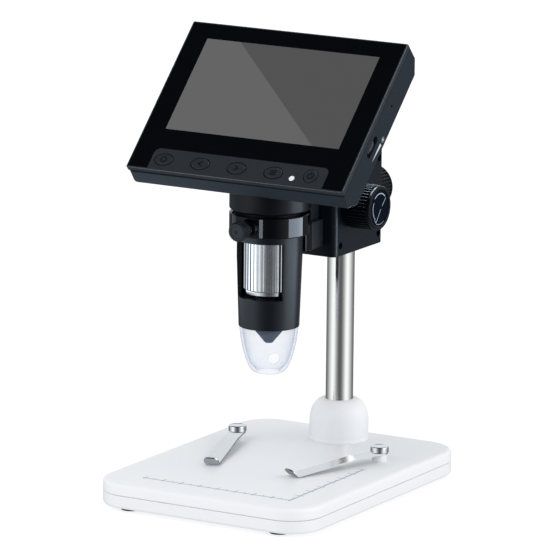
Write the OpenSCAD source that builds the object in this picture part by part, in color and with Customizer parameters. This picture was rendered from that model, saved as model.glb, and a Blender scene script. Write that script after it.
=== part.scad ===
// Bench digital microscope with a fixed tilted screen, on a post stand.
// Millimetres, +Z up. The origin is on the table, at the centre of the whole outline.

/* [Base] */
// Width of the base, along X
base_w = 118; // [108:1:140]
// Depth of the base, along Y
base_d = 156; // [146:1:190]
// Corner radius of the base
base_corner_r = 17; // [14:1:30]
// Height of the lower base shell
lower_shell_h = 6.5; // [5.5:0.5:9]
// Height of the upper base shell
upper_shell_h = 6; // [5:0.5:9]
// Wall of both base shells
base_wall = 2.4; // [1.8:0.1:3]
// Rounding of the base's outer edges
base_edge = 1.6; // [0.8:0.1:2]
// Height that the rubber feet lift the base
foot_h = 1.5; // [1:0.1:3]
// Radius of a rubber foot
foot_r = 5; // [3:0.5:7]
// Foot centre, in from the base's side
foot_inset_x = 18; // [15:0.5:24]
// Foot centre, in from the base's front or back
foot_inset_y = 8.5; // [8:0.5:14]

/* [Post] */
// Outer diameter of the post
post_d = 13.5; // [12:0.5:16]
// Wall of the post's tube
post_wall = 1.2; // [0.8:0.1:2]
// Length of the post above the base
post_len = 170; // [160:1:172]
// Post axis, behind the centre of the base
post_setback = 58; // [52:1:59]
// Outer diameter of the collar at the post's foot
collar_d = 29; // [24:0.5:34]
// Height of the collar
collar_h = 20.5; // [14:0.5:26]

/* [Stage clips] */
// Clip stud, in from the base's side
clip_inset = 19; // [14:1:26]
// Clip stud in front of the post axis
clip_front = 30.3; // [24:0.1:36]
// Length of a spring leaf, from its stud to its bend
clip_len = 53; // [36:1:56]
// Width of a spring leaf
clip_w = 7.4; // [5:0.2:9]
// Thickness of a spring leaf
clip_t = 0.6; // [0.4:0.1:1]
// Toe-in of the left leaf, degrees
left_toe_in = 17.5; // [0:0.5:25]
// Toe-in of the right leaf, degrees
right_toe_in = 21; // [0:0.5:25]
// Radius of the chrome cap on a clip stud
stud_cap_r = 4.4; // [3.8:0.1:5.5]
// Height of the white standoff under a leaf
standoff_h = 3.8; // [3:0.1:6]

/* [Carriage] */
// Width of the carriage block, along X
block_w = 30; // [28:0.5:36]
// Depth of the carriage block, along Y
block_d = 47; // [46:0.5:54]
// Height of the carriage block
block_h = 47.7; // [46:0.1:60]
// Underside of the carriage block above the stage
block_rise = 97.7; // [90:0.1:110]
// Front face of the carriage block, in front of the post axis
block_front = 32.2; // [31:0.1:36]
// Focus shaft above the underside of the block
shaft_rise = 23.8; // [22:0.1:26]
// Wall of the sleeve between block and post
sleeve_wall = 1.7; // [1.2:0.1:2.2]

/* [Knobs] */
// Radius of the focus and clamp knobs
knob_r = 11; // [9:0.5:13]
// Length of a focus knob
knob_len = 15.5; // [12:0.5:20]
// Length of the clamp knob
clamp_knob_len = 16.5; // [12:0.5:20]
// Ribs round a knob
knob_ribs = 42; // [24:1:60]
// Radius of the focus shaft
shaft_r = 2.5; // [2:0.1:3]

/* [Ring clamp] */
// Optical axis, in front of the post axis
lens_reach = 69; // [67:0.5:80]
// Wall of the ring round the barrel
ring_wall = 3.7; // [2.5:0.1:5]
// Height of the ring
ring_h = 10; // [8:0.5:14]
// Underside of the ring above the underside of the block
ring_rise = 17.8; // [16:0.1:19]
// Radius of the knurled head of the ring's thumb screw
thumb_r = 4.75; // [4:0.05:6]
// Length of that head
thumb_len = 6; // [4:0.5:9]

/* [Barrel] */
// Radius of the barrel in the ring
barrel_r = 15.75; // [15:0.05:18]
// Radius of the barrel at its lower end
barrel_foot_r = 14.6; // [14.4:0.1:15]
// Lower end of the barrel above the stage
barrel_rise = 69.8; // [62:0.1:80]
// Length of the barrel
barrel_len = 72.2; // [70:0.1:76]
// Radius of the knurled focus wheel
wheel_r = 12.4; // [11.5:0.1:12.8]
// Ribs round the focus wheel
wheel_ribs = 36; // [24:1:60]
// Half the angle that the barrel's window opens, degrees
window_half = 56; // [30:1:70]
// Length of the clear light cap below the barrel
cap_len = 22.8; // [18:0.1:26]
// Wall of the clear light cap
cap_wall = 1.5; // [1:0.1:2]

/* [Screen housing] */
// Width of the display's picture
lcd_w = 95; // [90:0.5:100]
// Height of the display's picture
lcd_h = 53.9; // [50:0.1:58]
// Border beside the picture
side_border = 11.85; // [11.5:0.05:16]
// Border above the picture
top_border = 9.35; // [9:0.05:14]
// Border below the picture, with the buttons
bottom_border = 23.95; // [23:0.05:30]
// Depth of the housing
housing_t = 16.3; // [15.5:0.1:20]
// Lean of the screen, degrees from flat
screen_tilt = 45; // [40:1:50]
// Middle of the housing's front, above the ring's underside
screen_rise = 61.8; // [58:0.1:66]
// Middle of the housing's front, in front of the optical axis
screen_front = 4.25; // [2:0.25:8]
// Thickness of the front bezel
bezel_t = 2.8; // [2.4:0.1:3]
// Wall of the rear shell
shell_wall = 1.7; // [1.2:0.1:2.2]
// Travel of a push button
key_travel = 0.5; // [0.3:0.1:0.5]

/* [Hidden] */
$fn = 64;
eps = 0.01;
fit = 0.05;          // radial clearance of a running fit
slide_gap = 0.15;    // gap round a part that slides
edge_gap = 0.3;      // gap between parts that only pass each other
bevel = tan(22.5);   // share by which an inset moves a 45 degree corner

// levels and axes
seam_z = foot_h + lower_shell_h;
stage_z = seam_z + upper_shell_h;
knob_gap = 0.5;
clamp_gap = 0.7;     // between the block and the clamp knob
clamp_reach = block_d - block_front + clamp_gap + clamp_knob_len;
base_y = -(post_setback + clamp_reach - base_d / 2) / 2;
post_y = base_y + post_setback;
optic_y = post_y - lens_reach;
block_z = stage_z + block_rise;
block_y = post_y - block_front;
shaft_z = block_z + shaft_rise;
clamp_knob_y = block_y + block_d + clamp_gap;
ring_z = block_z + ring_rise;
ring_mid_z = ring_z + ring_h / 2;
barrel_z = stage_z + barrel_rise;
screen_y = optic_y - screen_front;
screen_z = ring_z + screen_rise;

// post and its fixing
post_r = post_d / 2;
insert_len = 16;
bolt_r = 2.95;
washer_t = 1.2;
washer_r = 6.5;
bolt_head_h = 2.6;
bolt_head_r = 5;
bolt_seat_z = foot_h + 0.2 + bolt_head_h + washer_t;
post_boss_r = 12;
end_cap_h = 2.5;

// base screws
screw_r = 1.45;
screw_head_r = 2.8;
screw_head_h = 2;
base_screw_x = base_w / 2 - 12;
base_screw_y = base_d / 2 - 28;
screw_boss_r = 4;
foot_recess = 0.8;

// stage clips
stud_r = 1.5;
stud_cap_h = 3.2;
stud_flare_r = 2.6;
standoff_r = 3.65;
leaf_flat = 9;
leaf_lift = 0.5;
leaf_tip_run = 4.2;
leaf_tip_rise = 3.8;
clip_x = base_w / 2 - clip_inset;
clip_y = post_y - clip_front;

// carriage
block_corner_r = 3;
lip_h = 2.5;
sleeve_r = post_r + fit + sleeve_wall;
block_screw_inset = 5.2;
block_screw_back = 4.7;  // the two rear screws pass behind the sleeve
block_screw_r = 1.15;
block_screw_head_r = 1.5;
// where the screws cross the block: two behind the post, one low in front
block_screws = [[block_screw_inset, block_screw_inset],
    [block_d - block_screw_back, block_screw_inset],
    [block_d - block_screw_back, block_h - block_screw_inset]];
nut_r = 5.2;
nut_t = 3;
nut_back = 1.6;      // material behind the clamp nut
clamp_stud_r = 2.95;
clamp_bury = 11;
knob_cap_t = 1.1;

// rack and pinion
gear_module = 0.6;
pinion_teeth = 14;
pinion_r = gear_module * pinion_teeth / 2;
pinion_w = 7.6;
pressure = 20;
backlash = 0.12;
rack_addendum = 0.8 * gear_module;
rack_dedendum = 1.25 * gear_module;
tongue_neck_w = 10;
tongue_neck_d = 4.2;
tongue_w = 16;
tongue_d = 3.4;
rack_w = 8;
rack_base = 2.6;
rack_root_y = block_y + tongue_neck_d + tongue_d + rack_base;
pinion_y = rack_root_y + rack_dedendum + pinion_r + backlash;
tongue_z = block_z + 9.3;
tongue_top = ring_z + ring_h;
focus_up = 13;
focus_down = 1;

// focus slide and ring
arm_w = 17;
arm_z = block_z + 5.3;
arm_top = ring_z + 1;
lug_w = 12;
ring_r = barrel_r + fit + ring_wall;
ring_plate_y = optic_y + ring_r + 0.15;
joint_y = ring_plate_y + 6;
thumb_boss_r = 4.2;
thumb_boss_out = 5.4;
thumb_shank_r = 1.95;
slide_screw_r = 1.2;

// barrel and what it holds
barrel_taper_z = barrel_z + 34.2;
barrel_top = barrel_z + barrel_len;
barrel_wall = 1.75;
led_seat_z = barrel_z + 7;
web_top = barrel_z + 14.7;
wheel_z = web_top + edge_gap;
wheel_len = 28.9;
plug_z = wheel_z + wheel_len + edge_gap;
plug_t = 2;
plug_step = 0.65;
window_h = 27.5;
barrel_bore_r = barrel_r - barrel_wall - plug_step;
plug_r = barrel_bore_r + plug_step;
cap_bore_r = barrel_foot_r - barrel_wall;
lens_r = 7.5;
nose_r = 6.5;
hub_r = lens_r + fit + 0.45;
lens_z = barrel_z + 11.2;
lens_len = 26;
lens_bore_r = 5.2;
nose_z = barrel_z - 2.8;
nose_tip_z = barrel_z - 8.4;
led_ring_r = 9.6;
led_r = 1.25;
board_t = 1.6;
led_h = 1.8;
spigot_h = 4.6;
cap_mouth_r = 5.6;
cable_w = 10;
cable_t = 0.4;
// outside of the light cap from its top edge down to its mouth, as [radius, drop] shares
cap_curve = [[0.98, 0], [0.925, 0.28], [0.84, 0.54], [0.705, 0.8], [0.57, 0.94], [0.45, 1]];

// screen housing, in its own plane: x across, y up the screen, z out of it
screen_w = lcd_w + 2 * side_border;
screen_h = lcd_h + top_border + bottom_border;
lcd_up = (bottom_border - top_border) / 2;
top_draft = 0.7;
side_top = 10.5;
top_chamfer = 5.8;
bottom_flare = 1.8;
side_bottom = 9.9;
bottom_chamfer = 6.4;
bottom_fold = 0.4;   // rise of the fold between bottom chamfer and back
face_corner_r = 2.2;
rim = 0.8;
glass_t = 0.9;
lcd_module_w = lcd_w + 8;
lcd_module_h = lcd_h + 8.1;
lcd_module_t = 2.9;
window_margin = 0.7;
keypad_w = 95.5;
keypad_h = 12.6;
keypad_corner_r = 3;
key_y = -screen_h / 2 + 6.5;
key_w = 9.8;
key_h = 6.3;
power_y = key_y + 0.7;
power_r = 3.7;
key_pitch = 20.05;
key_shift = -0.7;    // the third button's middle, from the middle of the housing
key_flange = 0.8;
key_proud = 0.25;
key_x = [for (i = [-2:1]) i * key_pitch + key_shift];
power_x = 39.4;
light_x = 30.1;
light_y = key_y - 1.8;
light_r = 1.5;
switch_top = -bezel_t - 0.15 - key_flange - key_travel - 0.05;
switch_h = 1.6;
key_board_z = switch_top - switch_h;
key_board_t = 1;
key_board_h = 9.2;
housing_screw_x = lcd_module_w / 2 + 3.5;
housing_screw_y = [screen_h / 2 - 12.6, -screen_h / 2 + 10.6];
key_board_x = [-housing_screw_x + 5, housing_screw_x - 3.5];
key_post_x = [-1.5 * key_pitch + key_shift, 0.5 * key_pitch + key_shift, key_board_x[1] - 3];
main_board_z = -9.6;
main_board_w = 2 * housing_screw_x - 6;
main_board_h = 60;
main_board_y = screen_h / 2 - 10.6 - main_board_h / 2;
board_post_x = main_board_w / 2 - 8;
board_post_y = main_board_h / 2 - 5;
battery_w = 50;
battery_h = 26;
battery_top = screen_h / 2 - 8.1;
cavity_z = -(housing_t - shell_wall);
boss_top_z = -6;
wheel_slot = 12.1;
dimmer_r = 7.2;
dimmer_t = 2.6;
dimmer_x = screen_w / 2 - 7.4;
dimmer_y = -11.6;
dimmer_z = -7.7;
reset_y = 13.3;
reset_z = -8.7;
usb_y = 12;
card_y = -8;
neck_r = ring_r;
neck_gap = 1.1;
neck_z = ring_z + ring_h + neck_gap;
neck_bevel = 1;
neck_reach = screen_z - neck_z;
cable_hole_r = 12;

// ---------- shared shapes ----------

module rounded_rect(w, d, r) {
    square([w - 2 * r, d], center = true);
    square([w, d - 2 * r], center = true);
    for (x = [-1, 1], y = [-1, 1])
        translate([x * (w / 2 - r), y * (d / 2 - r)]) circle(r);
}

// half outline of a slab whose top edge is rounded by e
function edge_profile(r, h, e) = concat([[0, 0], [r, 0]],
    [for (a = [0:22.5:90]) [r - e + e * cos(a), h - e + e * sin(a)]], [[0, h]]);

module soft_slab(w, d, r, h, e) {
    x = w / 2 - r;
    y = d / 2 - r;
    for (i = [-1, 1], j = [-1, 1])
        translate([i * x, j * y, 0]) rotate_extrude() polygon(edge_profile(r, h, e));
    for (side = [0, 180]) rotate([0, 0, side]) {
        translate([x, y, 0]) rotate([90, 0, 0])
            linear_extrude(2 * y) polygon(edge_profile(r, h, e));
        translate([-x, y, 0]) rotate([90, 0, 90])
            linear_extrude(2 * x) polygon(edge_profile(r, h, e));
    }
    translate([-x, -y, 0]) cube([2 * x, 2 * y, h]);
}

module tube(r_out, r_in, h) {
    difference() {
        cylinder(r = r_out, h = h);
        translate([0, 0, -1]) cylinder(r = r_in, h = h + 2);
    }
}

// outline with n ribs of the given height, a little narrower at their tops
module ribbed(r, n, rib) {
    step = 360 / n;
    polygon([for (i = [0:n - 1]) each [
        for (c = [[-0.36, r - rib], [-0.24, r], [0.24, r], [0.36, r - rib]])
            [c[1] * cos((i + c[0]) * step), c[1] * sin((i + c[0]) * step)]]]);
}

module at_base() translate([0, base_y, 0]) children();
module at_post(z = 0) translate([0, post_y, z]) children();
module at_optic(z = 0) translate([0, optic_y, z]) children();
module at_screen() translate([0, screen_y, screen_z]) rotate([screen_tilt, 0, 0]) children();
module at_feet() for (x = [-1, 1], y = [-1, 1])
    translate([x * (base_w / 2 - foot_inset_x), y * (base_d / 2 - foot_inset_y), 0]) children();
module at_clips() for (x = [-1, 1]) translate([x * clip_x, clip_y, 0]) children();
module at_base_screws() for (x = [-1, 1], y = [-1, 1])
    translate([x * base_screw_x, y * base_screw_y, 0]) children();

// ---------- stand ----------

module base_top_shell() color("whitesmoke") difference() {
    at_base() difference() {
        translate([0, 0, seam_z])
            soft_slab(base_w, base_d, base_corner_r, upper_shell_h, base_edge);
        difference() {
            translate([0, 0, seam_z - 1]) linear_extrude(upper_shell_h + 1 - base_wall)
                rounded_rect(base_w - 2 * base_wall, base_d - 2 * base_wall,
                             base_corner_r - base_wall);
            at_base_screws() translate([0, 0, seam_z]) cylinder(r = screw_boss_r, h = upper_shell_h);
            translate([0, post_setback, seam_z]) cylinder(r = post_boss_r, h = upper_shell_h);
        }
        at_base_screws() translate([0, 0, seam_z - 1])
            cylinder(r = screw_r + fit, h = upper_shell_h + 1 - base_wall / 2);
    }
    at_clips() translate([0, 0, seam_z]) cylinder(r = stud_r + fit, h = upper_shell_h + 1);
    at_post(seam_z - 1) cylinder(r = bolt_r + edge_gap, h = upper_shell_h + 2);
}

module base_bottom_shell() color("gainsboro") at_base() difference() {
    seam_lip = 0.5;
    union() {
        difference() {
            union() {
                translate([0, 0, seam_z - seam_lip]) mirror([0, 0, 1])
                    soft_slab(base_w, base_d, base_corner_r, lower_shell_h - seam_lip, base_edge);
                translate([0, 0, seam_z - 1]) linear_extrude(1)
                    rounded_rect(base_w - 2 * seam_lip, base_d - 2 * seam_lip,
                                 base_corner_r - seam_lip);
            }
            translate([0, 0, foot_h + base_wall]) linear_extrude(lower_shell_h)
                rounded_rect(base_w - 2 * base_wall, base_d - 2 * base_wall,
                             base_corner_r - base_wall);
        }
        at_base_screws() translate([0, 0, foot_h + 1]) cylinder(r = screw_boss_r, h = lower_shell_h - 1);
        translate([0, post_setback, foot_h + 1]) cylinder(r = post_boss_r, h = lower_shell_h - 1);
    }
    at_feet() cylinder(r = foot_r + fit, h = foot_h + foot_recess);
    at_base_screws() {
        cylinder(r = screw_r + fit, h = seam_z + 1);
        cylinder(r = screw_head_r + edge_gap, h = foot_h + 0.5 + screw_head_h);
    }
    translate([0, post_setback, 0]) {
        cylinder(r = bolt_r + edge_gap, h = seam_z + 1);
        cylinder(r = washer_r + edge_gap, h = bolt_seat_z);
    }
}

module clip_standoffs() color("whitesmoke") at_clips() translate([0, 0, stage_z])
    tube(standoff_r, stud_r + fit, standoff_h);

module rubber_feet() color("black") at_base() at_feet() cylinder(r = foot_r, h = foot_h + foot_recess);

module base_screws() color("silver") at_base() at_base_screws() difference() {
    union() {
        translate([0, 0, foot_h + 0.5]) cylinder(r = screw_head_r, h = screw_head_h);
        translate([0, 0, foot_h + 1]) cylinder(r = screw_r, h = stage_z - base_wall - foot_h - 1.2);
    }
    translate([0, 0, foot_h]) cylinder(r = 1.2, h = 1.5, $fn = 6);
}

module post_collar() color("whitesmoke") at_post(stage_z) difference() {
    dome_w = 6.9;
    dome_h = 11;
    r = collar_d / 2;
    rotate_extrude() polygon(concat([[0, 0], [r + 0.3, 0], [r + 0.3, 0.8], [r, 1.6]],
        [for (a = [0:15:75]) [r - dome_w + dome_w * cos(a), collar_h - dome_h + dome_h * sin(a)]],
        [[post_r + 0.8, collar_h], [0, collar_h]]));
    translate([0, 0, -1]) cylinder(r = post_r + fit, h = collar_h + 2);
}

module post() color("silver") at_post(stage_z) tube(post_r, post_r - post_wall, post_len);

module post_insert() color("goldenrod") at_post(stage_z) difference() {
    cylinder(r = post_r - post_wall, h = insert_len);
    translate([0, 0, -1]) cylinder(r = bolt_r + fit, h = insert_len);
}

module post_washer() color("silver") at_post(bolt_seat_z - washer_t)
    tube(washer_r, bolt_r + fit, washer_t);

module post_bolt() color("dimgray") at_post(bolt_seat_z - washer_t) difference() {
    union() {
        translate([0, 0, -bolt_head_h]) cylinder(r = bolt_head_r, h = bolt_head_h);
        translate([0, 0, -1]) cylinder(r = bolt_r, h = stage_z + insert_len - 4 - bolt_seat_z);
    }
    translate([0, 0, -bolt_head_h - 1]) cylinder(r = 2.3, h = 2.6, $fn = 6);
}

module post_end_cap() color("black") at_post(stage_z + post_len) {
    plug = 6;
    rotate_extrude() polygon([[0, -plug], [post_r - post_wall - fit, -plug],
        [post_r - post_wall - fit, 0], [post_r, 0], [post_r, end_cap_h - 1.2],
        [post_r - 0.4, end_cap_h - 0.4], [post_r - 1.4, end_cap_h], [0, end_cap_h]]);
}

// ---------- stage clips ----------

// side view of a leaf: flat at the stud, then down to the stage, then turned up
function leaf_line(dz) = [[-1, standoff_h + dz], [leaf_flat, standoff_h + dz],
    [leaf_flat + 6, standoff_h - 0.6 + dz], [clip_len, leaf_lift + dz],
    [clip_len + leaf_tip_run, leaf_lift + leaf_tip_rise + dz]];

module clip_leaf() difference() {
    union() {
        translate([0, clip_w / 2, 0]) rotate([90, 0, 0]) linear_extrude(clip_w)
            polygon(concat(leaf_line(0), [for (i = [4:-1:0]) leaf_line(clip_t)[i]]));
        translate([0, 0, standoff_h]) cylinder(r = clip_w / 2 + 0.3, h = clip_t);
    }
    cylinder(r = stud_r + fit, h = 3 * standoff_h);
}

module clip_stud() {
    cap_z = stage_z + standoff_h + clip_t;
    flare_z = stage_z - base_wall - edge_gap;
    rotate_extrude() polygon(concat([[0, flare_z - 1], [stud_flare_r, flare_z - 1],
        [stud_flare_r, flare_z], [stud_r, flare_z], [stud_r, cap_z],
        [stud_cap_r - 0.4, cap_z], [stud_cap_r, cap_z + 0.4]],
        [for (a = [0:30:90]) [stud_cap_r - 0.9 + 0.9 * cos(a), cap_z + stud_cap_h - 0.9 + 0.9 * sin(a)]],
        [[0, cap_z + stud_cap_h]]));
}

module left_clip_leaf() color("lightgray")
    translate([-clip_x, clip_y, stage_z]) rotate([0, 0, left_toe_in - 90]) clip_leaf();
module right_clip_leaf() color("lightgray")
    translate([clip_x, clip_y, stage_z]) rotate([0, 0, -90 - right_toe_in]) clip_leaf();
module left_clip_stud() color("silver") translate([-clip_x, clip_y, 0]) clip_stud();
module right_clip_stud() color("silver") translate([clip_x, clip_y, 0]) clip_stud();

// ---------- carriage ----------

module clamp_sleeve() color("ivory") at_post(block_z + lip_h) difference() {
    h = block_h - 2 * lip_h;
    tube(sleeve_r, post_r + fit, h);
    translate([-1, -sleeve_r - 1, -1]) cube([2, sleeve_r, h + 2]);
}

module at_block_screws() for (s = block_screws)
    translate([0, block_y + s[0], block_z + s[1]]) rotate([0, 90, 0]) children();

module carriage_body() difference() {
    translate([0, block_y + block_d / 2, block_z]) linear_extrude(block_h)
        rounded_rect(block_w, block_d, block_corner_r);
    at_post(block_z + lip_h - slide_gap)
        cylinder(r = sleeve_r + fit, h = block_h - 2 * lip_h + 2 * slide_gap);
    at_post(block_z - 1) cylinder(r = post_r + edge_gap + 0.1, h = block_h + 2);
    // channel for the slide's tongue, its flange and the rack
    channel_z = tongue_z - focus_down - edge_gap;
    channel_h = tongue_top + focus_up + edge_gap - channel_z;
    translate([-tongue_neck_w / 2 - slide_gap, block_y - 1, channel_z])
        cube([tongue_neck_w + 2 * slide_gap, tongue_neck_d + 2, channel_h]);
    translate([-tongue_w / 2 - slide_gap, block_y + tongue_neck_d - slide_gap, channel_z])
        cube([tongue_w + 2 * slide_gap, tongue_d + 2 * slide_gap, channel_h]);
    translate([-rack_w / 2 - edge_gap, block_y + tongue_neck_d, channel_z])
        cube([rack_w + 2 * edge_gap, pinion_y - pinion_r - block_y - tongue_neck_d + 1, channel_h]);
    // pinion chamber and shaft bore
    translate([-pinion_w / 2 - edge_gap, pinion_y, shaft_z]) rotate([0, 90, 0])
        cylinder(r = pinion_r + gear_module + edge_gap, h = pinion_w + 2 * edge_gap);
    translate([-block_w, pinion_y, shaft_z]) rotate([0, 90, 0])
        cylinder(r = shaft_r + fit, h = 2 * block_w);
    // clamp stud bore and nut pocket
    translate([0, post_y, shaft_z]) rotate([-90, 0, 0])
        cylinder(r = clamp_stud_r + fit, h = block_d);
    translate([0, block_y + block_d - nut_back - nut_t, shaft_z]) rotate([-90, 0, 0])
        cylinder(r = nut_r + fit, h = nut_t, $fn = 6);
    // screws
    at_block_screws() {
        translate([0, 0, -block_w / 2 + 3]) cylinder(r = block_screw_r + fit, h = block_w);
        translate([0, 0, block_w / 2 - 4]) cylinder(r = block_screw_head_r + 0.25, h = 5);
    }
}

module carriage_left_half() color([0.13, 0.15, 0.18]) intersection() {
    carriage_body();
    translate([-block_w, block_y - 1, block_z - 1]) cube([block_w, block_d + 2, block_h + 2]);
}
module carriage_right_half() color([0.13, 0.15, 0.18]) intersection() {
    carriage_body();
    translate([0, block_y - 1, block_z - 1]) cube([block_w, block_d + 2, block_h + 2]);
}
module carriage_screws() color("dimgray") at_block_screws() {
    translate([0, 0, -block_w / 2 + 4]) cylinder(r = block_screw_r, h = block_w - 7);
    translate([0, 0, block_w / 2 - 4]) cylinder(r = block_screw_head_r, h = 2);
}

module clamp_nut() color("silver") translate([0, block_y + block_d - nut_back - nut_t, shaft_z])
    rotate([-90, 0, 0]) difference() {
        cylinder(r = nut_r, h = nut_t, $fn = 6);
        translate([0, 0, -1]) cylinder(r = clamp_stud_r + fit, h = nut_t + 2);
    }

module clamp_stud() color("silver") {
    tip_y = post_y + sleeve_r + edge_gap;
    translate([0, tip_y, shaft_z]) rotate([-90, 0, 0])
        cylinder(r = clamp_stud_r, h = clamp_knob_y + clamp_bury - tip_y);
}

// knurled knob on the +Z axis with a recessed face and a blind bore
module knob(len, bore_r, bore_len) difference() {
    rib = 0.45;
    face_r = knob_r - 2.2;
    union() {
        linear_extrude(len - 1) ribbed(knob_r, knob_ribs, rib);
        translate([0, 0, len - 1]) cylinder(r1 = knob_r - rib, r2 = knob_r - 1.2, h = 1);
    }
    translate([0, 0, len - knob_cap_t]) cylinder(r = face_r, h = 2);
    translate([0, 0, -1]) cylinder(r = bore_r, h = bore_len + 1);
}

module clamp_knob() color([0.07, 0.07, 0.08]) translate([0, clamp_knob_y, shaft_z])
    rotate([-90, 0, 0]) knob(clamp_knob_len, clamp_stud_r, clamp_bury);

// ---------- focus drive ----------

function involute(r, rb) = let (a = acos(min(1, rb / r))) tan(a) * 180 / PI - a;
// half angle of a pinion tooth at radius r
function tooth_half(r, rb) = 90 / pinion_teeth - backlash / 2 / pinion_r * 180 / PI
    + involute(pinion_r, rb) - involute(max(r, rb), rb);

module pinion_outline() {
    rb = pinion_r * cos(pressure);
    root = pinion_r - rack_dedendum;
    radii = [root, rb, (rb + pinion_r) / 2 + 0.1, pinion_r + 0.2, pinion_r + rack_addendum];
    polygon([for (i = [0:pinion_teeth - 1]) each concat(
        [for (r = radii) let (a = i * 360 / pinion_teeth - tooth_half(r, rb)) r * [cos(a), sin(a)]],
        [for (k = [4:-1:0]) let (r = radii[k], a = i * 360 / pinion_teeth + tooth_half(r, rb))
            r * [cos(a), sin(a)]])]);
}

module focus_shaft() color("silver") translate([0, pinion_y, shaft_z]) rotate([0, 90, 0]) {
    reach = block_w / 2 + knob_gap + knob_len - 3;
    translate([0, 0, -reach]) cylinder(r = shaft_r, h = 2 * reach);
    // a tooth gap of the rack faces the tooth that points forward
    rotate([0, 0, -90]) translate([0, 0, -pinion_w / 2]) linear_extrude(pinion_w) pinion_outline();
}

module right_focus_knob() color([0.07, 0.07, 0.08])
    translate([block_w / 2 + knob_gap, pinion_y, shaft_z]) rotate([0, 90, 0])
        knob(knob_len, shaft_r, knob_len - 3);
module left_focus_knob() color([0.07, 0.07, 0.08]) mirror([1, 0, 0])
    translate([block_w / 2 + knob_gap, pinion_y, shaft_z]) rotate([0, 90, 0])
        knob(knob_len, shaft_r, knob_len - 3);
module knob_caps() color([0.12, 0.14, 0.17]) for (side = [0, 1]) mirror([side, 0, 0])
    translate([block_w / 2 + knob_gap + knob_len - knob_cap_t, pinion_y, shaft_z])
        rotate([0, 90, 0]) cylinder(r = knob_r - 2.2 - fit, h = knob_cap_t - 0.3);

module focus_slide() color([0.2, 0.21, 0.22]) difference() {
    arm_y = block_y - edge_gap;
    union() {
        translate([-arm_w / 2, joint_y, arm_z]) cube([arm_w, arm_y - joint_y, arm_top - arm_z]);
        translate([-lug_w / 2, joint_y, arm_z]) cube([lug_w, arm_y - joint_y, tongue_top - arm_z]);
        translate([-tongue_neck_w / 2, arm_y - 1, tongue_z])
            cube([tongue_neck_w, block_y + tongue_neck_d - arm_y + 1.5, tongue_top - tongue_z]);
        translate([-tongue_w / 2, block_y + tongue_neck_d, tongue_z])
            cube([tongue_w, tongue_d, tongue_top - tongue_z]);
    }
    at_slide_screws() translate([0, 0, -1]) cylinder(r = slide_screw_r, h = 30);
}

module focus_rack() color("silver")
    translate([-rack_w / 2, rack_root_y, 0]) rotate([90, 0, 90]) linear_extrude(rack_w) {
        pitch = PI * gear_module;
        half = pitch / 4 - backlash / 2;
        root_x = half + rack_dedendum * tan(pressure);
        tip_x = half - rack_addendum * tan(pressure);
        tooth_h = rack_dedendum + rack_addendum;
        below = floor((shaft_z - tongue_z - root_x) / pitch + 0.5);
        above = floor((tongue_top - shaft_z - root_x) / pitch - 0.5);
        translate([-rack_base, tongue_z]) square([rack_base, tongue_top - tongue_z]);
        // the pinion's forward tooth stands between two teeth of the rack
        for (i = [-below:above]) translate([0, shaft_z + (i + 0.5) * pitch])
            polygon([[-eps, -root_x], [tooth_h, -tip_x], [tooth_h, tip_x], [-eps, root_x]]);
    }

// ---------- ring clamp ----------

module at_slide_screws() for (x = [-1, 1])
    translate([x * 5, joint_y - 3, arm_z]) rotate([-90, 0, 0]) translate([0, -6, 0]) children();

module ring_clamp() color("black") difference() {
    union() {
        at_optic(ring_z) cylinder(r = ring_r, h = ring_h, $fn = 96);
        translate([-lug_w / 2, optic_y + barrel_r + 1, ring_z])
            cube([lug_w, joint_y - optic_y - barrel_r - 1, ring_h]);
        translate([-arm_w / 2, ring_plate_y, arm_z])
            cube([arm_w, joint_y - ring_plate_y, arm_top - arm_z]);
        translate([0, optic_y, ring_mid_z]) rotate([90, 0, 0])
            cylinder(r = thumb_boss_r, h = ring_r + thumb_boss_out);
    }
    at_optic(ring_z - 1) cylinder(r = barrel_r + fit, h = ring_h + 2, $fn = 96);
    translate([0, optic_y, ring_mid_z]) rotate([90, 0, 0])
        cylinder(r = thumb_shank_r + fit, h = 2 * ring_r);
    at_slide_screws() translate([0, 0, -4]) cylinder(r = slide_screw_r, h = 20);
}

module slide_screws() color("silver") at_slide_screws() {
    translate([0, 0, -3]) cylinder(r = slide_screw_r, h = 11);
    translate([0, 0, -4]) cylinder(r = 2, h = 1);
}

module thumb_screw_head() color([0.12, 0.13, 0.15])
    translate([0, optic_y - ring_r - thumb_boss_out - 0.7, ring_mid_z]) rotate([90, 0, 0]) difference() {
        union() {
            linear_extrude(thumb_len - 0.8) ribbed(thumb_r, 28, 0.35);
            translate([0, 0, thumb_len - 0.8]) cylinder(r1 = thumb_r - 0.3, r2 = thumb_r - 1, h = 0.8);
        }
        translate([0, 0, thumb_len - 0.4]) cylinder(r = thumb_r - 1.8, h = 1);
        translate([0, 0, -1]) cylinder(r = thumb_shank_r, h = thumb_len - 1);
    }
module thumb_screw_shank() color("silver")
    translate([0, optic_y - barrel_r - slide_gap, ring_mid_z]) rotate([90, 0, 0])
        cylinder(r = thumb_shank_r, h = ring_r + thumb_boss_out + 0.7 + thumb_len - 2 - barrel_r - slide_gap);

// ---------- screen housing ----------

// side outline of the housing, inset by w, as [up the screen, out of it] points
function housing_outline(w) = [
    [screen_h / 2 - w, 0],
    [screen_h / 2 - top_draft - w, -side_top + w * bevel],
    [screen_h / 2 - top_draft - top_chamfer - w * bevel, -housing_t + w],
    [-(screen_h / 2 + bottom_flare - bottom_chamfer - w * bevel) + bottom_fold, -housing_t + w],
    [-(screen_h / 2 + bottom_flare - w), -side_bottom + w * bevel],
    [-(screen_h / 2 - w), 0]];

module housing_solid(w, z_top) intersection() {
    rotate([90, 0, 90]) linear_extrude(screen_w - 2 * w, center = true) polygon(housing_outline(w));
    translate([-screen_w, -screen_h, z_top - 2 * housing_t])
        cube([2 * screen_w, 2 * screen_h, 2 * housing_t]);
}

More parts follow.
